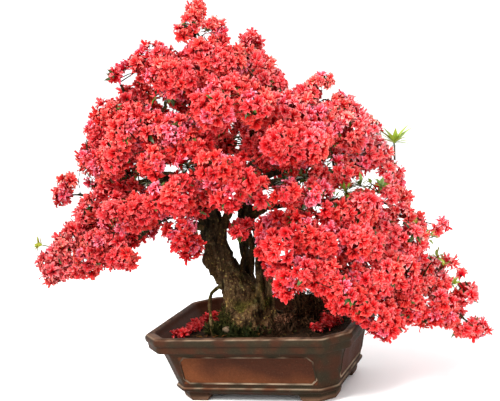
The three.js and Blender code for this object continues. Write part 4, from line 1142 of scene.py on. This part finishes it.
def pot_profile():
    """Rings of (height, inset, cut, zone), from under the ledge, up, over the lip and down inside."""
    # The dark rings carry painted shade: under the ledge, in its groove, above it, under the lip, in the
    # lip's groove and down the inner wall
    rows = [(18, 90, 34, "dark"), (18, 80, 36, "dark"), (21, 76, 36, "margin"), (28, 70, 36, "margin"),
            (31, 65, 37, "margin"), (33, 61, 38, "dark"), (36, 60, 38, "dark"), (39, 60, 38, "margin"),
            (42, 62, 38, "worn"), (43.5, 64.5, 38, "dark")]
    for step in range(1, 23):
        t = step / 23
        rows.append((43.5 + t * 106, 64.5 - t * 28.3, 38 + t * 6, "body"))
    rows += [(150.5, 36, 44, "dark"), (152.5, 31, 46, "dark"), (154.5, 22, 50, "dark"),
             (156.5, 12, 55, "dark"), (158, 8, 56, "margin"), (160, 7, 56, "margin"),
             (165, 6.6, 56, "margin"), (170, 6.3, 56, "margin"), (175, 6, 56, "margin"),
             (177.5, 5.2, 57, "dark"), (179.5, 2.2, 58, "margin"), (182, 0.6, 60, "margin"),
             (185, 0, 60, "margin"), (188.5, 0, 60, "margin"), (192, 0.8, 60, "margin"),
             (195, 2.4, 59, "margin"), (197.6, 5, 58, "worn"), (199.3, 8.4, 57, "edge"),
             (200, 12, 56, "edge"), (200, 17, 54, "edge"), (199.4, 21.5, 52, "edge"),
             (197.5, 25, 51, "inner"), (193, 27.4, 50, "inner"), (186, 29, 49, "inner")]
    for step in range(1, 9):
        t = step / 8
        rows.append((186 - t * 34, 29 + t * 27, 49 - t * 9, "inner"))
    for step in range(1, 6):
        t = step / 5
        rows.append((152 - t * (152 - FLOOR_TOP), 56 + t * 28, 40 - t * 6, "dark"))
    return rows


def add_pot_body(sheets):
    """The pot's wall, ledge, lip and floor, before its drainage holes are cut."""
    rows = pot_profile()
    points, colours = [], []
    for height, inset, cut, zone in rows:
        for point in pot_ring(inset, cut, height):
            where = MIDDLE + point * MM
            wobble = noise.noise(where * 14) * 0.5 * MM + noise.noise(where * 60) * 0.25 * MM
            points.append(where + Vector((point.x, point.y, 0)).normalized() * wobble)
            outside = zone == "body" and not in_panel(point, height)
            colours.append(clay_tone(where, "margin" if outside else zone))
    faces = stitch(len(rows), RING_POINTS, wrap=True)
    centre_low, centre_high = len(points), len(points) + 1
    points += [MIDDLE + UP * FLOOR_UNDER * MM, MIDDLE + UP * FLOOR_TOP * MM]
    # Painted shade on the floor's two middle points
    colours += [CLAY_PAINTED_SHADE, CLAY_PAINTED_SHADE]
    top = (len(rows) - 1) * RING_POINTS
    for step in range(RING_POINTS):
        following = (step + 1) % RING_POINTS
        faces.append((centre_low, following, step))
        faces.append((centre_high, top + step, top + following))
    sheets.add(points, faces, colours)


def add_frame(sheets, turn, out, wide):
    """A thin raised line with cut corners on one side of the pot, paler along its foot, partly worn clay and
    partly a painted highlight.
    """
    slope = math.atan2(BODY_BOTTOM_INSET - BODY_TOP_INSET, BODY_TOP - BODY_BOTTOM)
    corners = cut_corners(wide / 2, FRAME_HIGH / 2, FRAME_NOTCH)
    line = []
    for index, corner in enumerate(corners):
        here, beyond = Vector(corner), Vector(corners[(index + 1) % 8])
        steps = max(2, round((beyond - here).length / 9))
        line.extend(here.lerp(beyond, step / steps) for step in range(steps))
    spin = Matrix.Rotation(math.radians(turn), 3, "Z")
    face_up = Vector((0, -math.sin(slope), math.cos(slope)))
    face_out = Vector((0, -math.cos(slope), -math.sin(slope)))
    centre = Vector((0, -out, (BODY_TOP + BODY_BOTTOM) / 2))
    points, colours = [], []
    for index, spot in enumerate(line):
        ahead = (line[(index + 1) % len(line)] - line[index - 1]).normalized()
        aside = Vector((ahead.y, -ahead.x))
        for across, proud in FRAME_SECTION:
            flat = spot + aside * across
            local = centre + Vector((1, 0, 0)) * flat.x + face_up * flat.y + face_out * proud
            where = MIDDLE + (spin @ local) * MM
            # Partly worn clay and partly a painted highlight: the line is paler along its foot and in patches
            worn = 0.62 if flat.y < FRAME_NOTCH - FRAME_HIGH / 2 else -0.25
            worn += 1.1 * noise.noise(where * 26 + Vector((5, 5, 5)))
            points.append(where)
            colours.append(clay_tone(where, "margin").lerp(Vector(CLAY_LINE), clamp(worn, high=0.9)))
    sheets.add(points, stitch(len(line), len(FRAME_SECTION), wrap=True, loop=True), colours)


def add_foot(sheets, side_x, side_y):
    """A bracket foot that follows one cut corner and narrows towards the ground."""
    points = []
    for height, inset, reach in FOOT_ROWS:
        x, y = POT_LENGTH / MM / 2 - inset, POT_DEPTH / MM / 2 - inset
        leg_x, leg_y = x - FOOT_CUT - reach, y - FOOT_CUT - reach
        plan = [(x, y - FOOT_CUT), (x - FOOT_CUT, y), (leg_x, y), (leg_x, y - FOOT_DEEP),
                (x - FOOT_CUT - FOOT_NOTCH, y - FOOT_DEEP), (x - FOOT_DEEP, y - FOOT_CUT - FOOT_NOTCH),
                (x - FOOT_DEEP, leg_y), (x, leg_y)]
        if side_x * side_y < 0:
            plan.reverse()
        points += [MIDDLE + Vector((a * side_x, b * side_y, height)) * MM for a, b in plan]
    tones = [clay_tone(point, "edge" if point.z < FOOT_WORN * MM else "margin") for point in points]
    sheets.add(points, stitch_closed(len(FOOT_ROWS), 8), tones)


def cut_drains(pot):
    """The two drainage holes in the floor."""
    for side in (-1, 1):
        where = MIDDLE + Vector((side * DRAIN_SPACING / 2 * MM, 0, 0.03))
        bpy.ops.mesh.primitive_cylinder_add(vertices=32, radius=DRAIN_RADIUS * MM, depth=0.1, location=where)
        drill = bpy.context.object
        cut = pot.modifiers.new("drain", "BOOLEAN")
        cut.object = drill
        cut.operation = "DIFFERENCE"
        mesh = bpy.data.meshes.new_from_object(pot.evaluated_get(bpy.context.evaluated_depsgraph_get()))
        pot.modifiers.clear()
        pot.data = mesh
        bpy.data.objects.remove(drill)


def make_pot(material):
    """The pot: its body with two holes, the raised frames and the feet."""
    body, trim, feet = Sheets(), Sheets(), Sheets()
    add_pot_body(body)
    pot = body.mesh_object("pot_clay", material)
    cut_drains(pot)
    finish_piece(pot, "clay", "pot")
    for turn in (0, 180):
        add_frame(trim, turn, POT_DEPTH / MM / 2 - FRAME_INSET, FRAME_LONG)
        add_frame(trim, turn + 90, POT_LENGTH / MM / 2 - FRAME_INSET, FRAME_SHORT)
    trim.finish("pot_frames", material, "clay")
    for side_x in (-1, 1):
        for side_y in (-1, 1):
            add_foot(feet, side_x, side_y)
    feet.finish("pot_feet", material, "clay", smooth=False)


# The soil and what lies on it
SOIL_EDGE = 158
SOIL_RISE = 34
MOUND_RADIUS = 150
ROOT_CENTRE = (-22, 8)
SOIL_RINGS = 60
SOIL_POINTS = 200
SOIL_INSET = BODY_TOP_INSET + WALL
SOIL_CUT = 44
SOIL_SHADE = (0.6, 0.6, 0.6)
SOIL_TOP_SHADE = (0.8, 0.8, 0.8)
CRUMBS = 1500
CRUMB = srgb(58, 42, 30)
DEAD_TWIG = srgb(92, 66, 46)
DRY_LEAF = (srgb(112, 66, 34), srgb(60, 62, 30))


def soil_height(where):
    """The height of the soil, in metres, at a place in the shared frame."""
    centre = place(*ROOT_CENTRE, 0)
    away = math.hypot(where.x - centre.x, where.y - centre.y) / (MOUND_RADIUS * MM)
    x, y = (where.x - MIDDLE.x) / MM, (where.y - MIDDLE.y) / MM
    return (SOIL_EDGE + SOIL_RISE * math.exp(-away * away) + 2.2 * math.sin(x / 31) * math.cos(y / 27)) * MM


def make_soil(material):
    """The heaped earth with its lumps, and its sides and underside inside the pot."""
    outer = pot_ring(SOIL_INSET - 1, 40, 0, SOIL_POINTS)
    lower = pot_ring(BODY_BOTTOM_INSET + WALL + 1, 34, FLOOR_TOP + 1, SOIL_POINTS)
    points, colours = [], []
    for ring in range(SOIL_RINGS + 1):
        share = max(ring / SOIL_RINGS, 0.004)
        for point in outer:
            where = MIDDLE + Vector((point.x * share, point.y * share, 0)) * MM
            lumps = 2.6 * noise.noise(where * 55) + 1.6 * noise.noise(where * 140)
            where.z = soil_height(where) + (lumps + 0.9 * noise.noise(where * 320)) * MM
            wet = 0.85 + 0.5 * noise.noise(where * 20)
            points.append(where)
            colours.append((wet, wet, wet))
    faces = [(a, c, b) for a, b, c in stitch(SOIL_RINGS + 1, SOIL_POINTS, wrap=True)]
    rim, base = SOIL_RINGS * SOIL_POINTS, len(points)
    under, top = base + SOIL_POINTS, base + SOIL_POINTS + 1
    points += [MIDDLE + point * MM for point in lower]
    points += [MIDDLE + UP * (FLOOR_TOP + 1) * MM, MIDDLE + UP * soil_height(MIDDLE)]
    colours += [SOIL_SHADE] * (SOIL_POINTS + 1) + [SOIL_TOP_SHADE]
    for step in range(SOIL_POINTS):
        after = (step + 1) % SOIL_POINTS
        faces += [(rim + step, base + step, base + after), (rim + step, base + after, rim + after),
                  (base + after, base + step, under), (step, after, top)]
    sheets = Sheets()
    sheets.add(points, faces, colours)
    sheets.finish("soil_bed", material, "soil", "soil")


def in_pot(right, toward, margin=16):
    """Whether a place on the soil is inside the pot's wall."""
    where = place(right, toward, 0) - MIDDLE
    x, y = abs(where.x) / MM, abs(where.y) / MM
    half_x = POT_LENGTH / MM / 2 - SOIL_INSET - margin
    half_y = POT_DEPTH / MM / 2 - SOIL_INSET - margin
    return x < half_x and y < half_y and x + y < half_x + half_y - SOIL_CUT


def on_soil(right, toward, lift=0.0):
    """A place in the tree's frame, at the soil's height and lifted by some millimetres."""
    where = place(right, toward, 0)
    where.z = soil_height(where) + lift * MM
    return where


def make_litter(material):
    """Crumbs of earth, bits of twig and dry leaf on the soil."""
    rng = random.Random(44)
    sheets = Sheets()
    for _ in range(CRUMBS):
        right, toward = rng.uniform(-290, 290), rng.uniform(-230, 230)
        if not in_pot(right, toward):
            continue
        base = on_soil(right, toward)
        kind, turn = rng.random(), any_turn(rng)
        flat = Vector((math.cos(turn), math.sin(turn), rng.uniform(-0.2, 0.4)))
        if kind < 0.55:
            size = rng.uniform(2, 5.5) * MM
            corners = [base + any_way(rng, -0.3, 0.9) * size for _ in range(4)]
            faces = [(0, 1, 2), (0, 2, 3), (0, 3, 1), (1, 3, 2)]
            sheets.add(corners, faces, Vector(CRUMB) * rng.uniform(0.5, 1.9))
        elif kind < 0.8:
            length = rng.uniform(10, 46) * MM
            bends = ((0, 2), (0.5, 5), (1, 3))
            path = [base + flat * length * share + UP * lift * MM for share, lift in bends]
            sheets.add_tube(path, (1.1, 1.0, 0.6), 4, Vector(DEAD_TWIG) * rng.uniform(0.15, 0.8))
        else:
            colour = Vector(DRY_LEAF[0]).lerp(Vector(DRY_LEAF[1]), rng.random())
            add_leaf(sheets, rng, base + UP * 3 * MM, flat, UP, rng.uniform(12, 24) * MM, colour)
    sheets.finish("litter", material, "soil", smooth=False)


# Cushions of moss: right, toward and radius of each, with its darkest and palest colours
MOSS = {
    "moss_left": (((-142, 8, 24), (-116, 54, 26), (-78, 90, 26), (-46, 112, 24)),
                  srgb(24, 30, 13), srgb(64, 64, 32)),
    "moss_right": (((14, 124, 22), (44, 106, 24), (74, 84, 21)), srgb(44, 30, 19), srgb(92, 66, 48)),
}
MOSS_TUFTS = 900
MOSS_BLADES = 60

# Bushes on the soil: right, toward, radius, height, and their leaves' darkest and palest colours
GREEN = (srgb(26, 33, 13), srgb(96, 92, 48))
DRY = (srgb(34, 22, 15), srgb(120, 84, 56))
ROOTY = (srgb(70, 42, 30), srgb(182, 128, 98))
BUSHES = (
    (-104, 40, 30, 72, GREEN), (-80, 66, 18, 34, GREEN), (-145, 36, 24, 44, GREEN), (-156, 8, 20, 28, GREEN),
    (4, 120, 18, 24, GREEN), (52, 70, 30, 34, ROOTY), (20, 108, 22, 16, ROOTY), (70, 40, 26, 44, DRY),
    (110, 8, 30, 112, DRY), (146, -6, 28, 100, DRY), (118, 70, 28, 30, DRY), (196, 10, 26, 46, DRY),
)
BUSH_DENSITY = 0.029
BUSH_LEAVES = 9


def make_moss(material):
    """Cushions of moss with grass standing in them."""
    for name, (cushions, dark, pale) in MOSS.items():
        rng = random.Random(name)
        sheets = Sheets()
        dark, pale = Vector(dark), Vector(pale)
        for right, toward, radius in cushions:
            for _ in range(MOSS_TUFTS):
                turn, away = any_turn(rng), radius * 1.25 * math.sqrt(rng.random())
                spot = (right + away * math.cos(turn), toward + away * math.sin(turn))
                if not in_pot(*spot, margin=4):
                    continue
                dome = 12 * (1 - (away / (radius * 1.3)) ** 2)
                base = on_soil(*spot, lift=dome * rng.uniform(0.5, 1) - 1)
                out = any_way(rng, 0.5, 1.6).normalized()
                colour = dark.lerp(pale, rng.random() ** 1.6)
                side = out.orthogonal().normalized() * rng.uniform(0.7, 1.3) * MM
                tip = base + out * rng.uniform(3, 7) * MM
                corners = [base - side, base + side, tip, base - out * 12 * MM]
                sheets.add(corners, [(0, 1, 2), (0, 3, 1)], colour)
            for _ in range(MOSS_BLADES):
                turn = any_turn(rng)
                away = radius * rng.uniform(0, 1.2)
                base = on_soil(right + away * math.cos(turn), toward + away * math.sin(turn))
                lean = any_way(rng, -0.6, 0.4)
                length = rng.uniform(9, 24) * MM
                base += UP * rng.uniform(2, 12) * MM
                colour = (dark * 1.3).lerp(pale * 1.2, rng.random() ** 1.5)
                add_leaf(sheets, rng, base, UP + lean, lean, length, colour)
        sheets.finish(f"{name}_tufts", material, "moss", name)


def make_bushes(material):
    """Small dark bushes on the soil, each of thin stems with leaves on them."""
    rng = random.Random(71)
    sheets = Sheets()
    for right, toward, radius, high, (dark, pale) in BUSHES:
        dark, pale = Vector(dark), Vector(pale)
        for _ in range(int(radius * high * BUSH_DENSITY)):
            turn, away = any_turn(rng), radius * math.sqrt(rng.random())
            x, y = away * math.cos(turn), away * math.sin(turn)
            foot = on_soil(right + 0.5 * x, toward + 0.5 * y, lift=-2)
            rise = high * (1.05 - 0.5 * (away / radius) ** 2) * rng.uniform(0.75, 1.08)
            top = on_soil(right + x, toward + y, lift=rise)
            path = [foot, foot.lerp(top, 0.55) + UP * 3 * MM, top]
            sheets.add_tube(path, (1.0, 0.8, 0.5), 4, pale * rng.uniform(0.3, 1.0))
            for step in range(BUSH_LEAVES):
                base = foot.lerp(top, 0.2 + 0.8 * step / (BUSH_LEAVES - 1))
                out = any_way(rng, -0.1, 0.9)
                colour = dark.lerp(pale, rng.random() ** 2.2)
                add_leaf(sheets, rng, base, out, UP, rng.uniform(8, 14) * MM, colour, 2)
    sheets.finish("moss_bushes", material, "moss")


# Heaps of dropped flowers, each along a line in the tree's frame
FALLEN = {
    "fallen_left": {"from": (-240, -4), "to": (-150, -160), "count": 32, "spread": 18},
    "fallen_right": {"from": (150, 100), "to": (208, 0), "count": 11, "spread": 46},
}


def make_fallen(material, templates):
    """Dropped flowers and loose petals on the soil."""
    for name, heap in FALLEN.items():
        rng = random.Random(name)
        sheets = Sheets()
        (start_x, start_y), (end_x, end_y), spread = heap["from"], heap["to"], heap["spread"]
        for index in range(heap["count"] * 3):
            t = rng.random()
            right = start_x + (end_x - start_x) * t + rng.gauss(0, 0.5) * spread
            toward = start_y + (end_y - start_y) * t + rng.gauss(0, 0.5) * spread
            if not in_pot(right, toward, margin=6):
                continue
            base = on_soil(right, toward, lift=rng.uniform(1, 9))
            axis = Vector((rng.uniform(-0.8, 0.8), rng.uniform(-0.8, 0.8), rng.uniform(0.2, 1))).normalized()
            tone = rng.uniform(0.6, 1.0)
            shade = Vector((tone, tone * 0.6, tone * 0.65))
            # One in three is a whole flower, and the others are loose petals
            if index % 3 == 0:
                size = BLOOM_RADIUS * rng.uniform(0.7, 0.95)
                template = templates[rng.randrange(VARIANTS)]
                add_bloom(sheets, template, base, facing(axis, any_turn(rng)), size, shade)
            else:
                points, faces, shares = petal_sheet(rng, 0, 1.0, 0.36, 0.2, 0.3, 3, 4)
                petal = (np.array(points), faces, blend_colours(shares))
                add_bloom(sheets, petal, base, facing(axis, any_turn(rng)), 20 * MM, shade)
        sheets.finish(f"{name}_flowers", material, "petals", name)


def make_pebbles(material):
    """The pebble at the front of the soil, and one like it on the moss."""
    low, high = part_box("pebble")
    stones = (("pebble_stone", (low + high) / 2, (high - low) / 2, ["pebble"]),
              ("pebble_on_moss", on_soil(-106, 70, lift=11), Vector((13, 11, 9)) * MM, []))
    for name, middle, half, nodes in stones:
        bm = bmesh.new()
        bmesh.ops.create_icosphere(bm, subdivisions=4, radius=1)
        for vert in bm.verts:
            bulge = 1 + 0.12 * noise.noise(vert.co * 1.6) + 0.03 * noise.noise(vert.co * 6)
            vert.co = vert.co * half * bulge + middle
        mesh = bpy.data.meshes.new(name)
        bm.to_mesh(mesh)
        bm.free()
        mesh.polygons.foreach_set("use_smooth", [True] * len(mesh.polygons))
        mesh.materials.append(material)
        finish_piece(link(name, mesh), "pebble", *nodes)


# Camera, light and floor
def make_camera():
    """The photograph's view: from the right and above, tipped a little, aimed past the rim's middle."""
    data = bpy.data.cameras.new("camera")
    data.lens = LENS
    data.sensor_width = SENSOR
    camera = link("camera", data)
    camera.matrix_world = VIEW
    bpy.context.scene.camera = camera


def add_light(name, where, aim, size, power, colour=(1, 1, 1)):
    """A round soft light that faces its aim."""
    data = bpy.data.lights.new(name, "AREA")
    data.shape = "DISK"
    data.size = size
    data.energy = power
    data.color = colour
    light = link(name, data)
    light.location = where
    light.rotation_euler = (Vector(where) - Vector(aim)).to_track_quat("Z", "Y").to_euler()


def make_stage():
    """A pale plain floor, a white surround and three soft lights."""
    bpy.ops.mesh.primitive_plane_add(size=40, location=(0, 0, 0))
    floor = bpy.context.object
    floor.name = "floor"
    shader = Shader("floor", 0.9, 0.1)
    shader.surface.inputs["Base Color"].default_value = (0.98, 0.98, 0.98, 1)
    floor.data.materials.append(shader.material)
    world = bpy.data.worlds.new("world")
    world.use_nodes = True
    sky = world.node_tree.nodes["Background"]
    sky.inputs["Color"].default_value = (1, 1, 1, 1)
    sky.inputs["Strength"].default_value = 1.3
    bpy.context.scene.world = world
    aim = (0, 0, 0.55)
    add_light("key", (-1.6, -2.6, 3.4), aim, 1.6, 225, (1.0, 0.98, 0.95))
    add_light("fill", (2.8, -2.2, 1.6), aim, 2.4, 20, (0.95, 0.97, 1.0))
    add_light("rim", (0.8, 3.2, 2.6), aim, 2.0, 40)
    bpy.context.scene.view_settings.view_transform = "Standard"


def main():
    make_camera()
    make_stage()
    petal, leaf, bark, moss = petal_material(), leaf_material(), bark_material(), moss_material()
    tree = make_wood(bark)
    spheres, anchors, templates = make_flowers(petal)
    make_inner_petals(petal, spheres)
    make_roots(bark, tree)
    make_twigs(bark, tree, anchors)
    make_foliage(leaf, anchors)
    make_sprigs(leaf, bark, tree)
    make_shoots(leaf)
    make_pot(clay_material())
    make_soil(soil_material())
    make_litter(moss)
    make_moss(moss)
    make_bushes(moss)
    make_fallen(petal, templates)
    make_pebbles(stone_material())
    net = net_material()
    for name in ("screen_left", "screen_right"):
        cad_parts[name].data.materials.clear()
        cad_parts[name].data.materials.append(net)
    bpy.context.view_layer.update()


main()
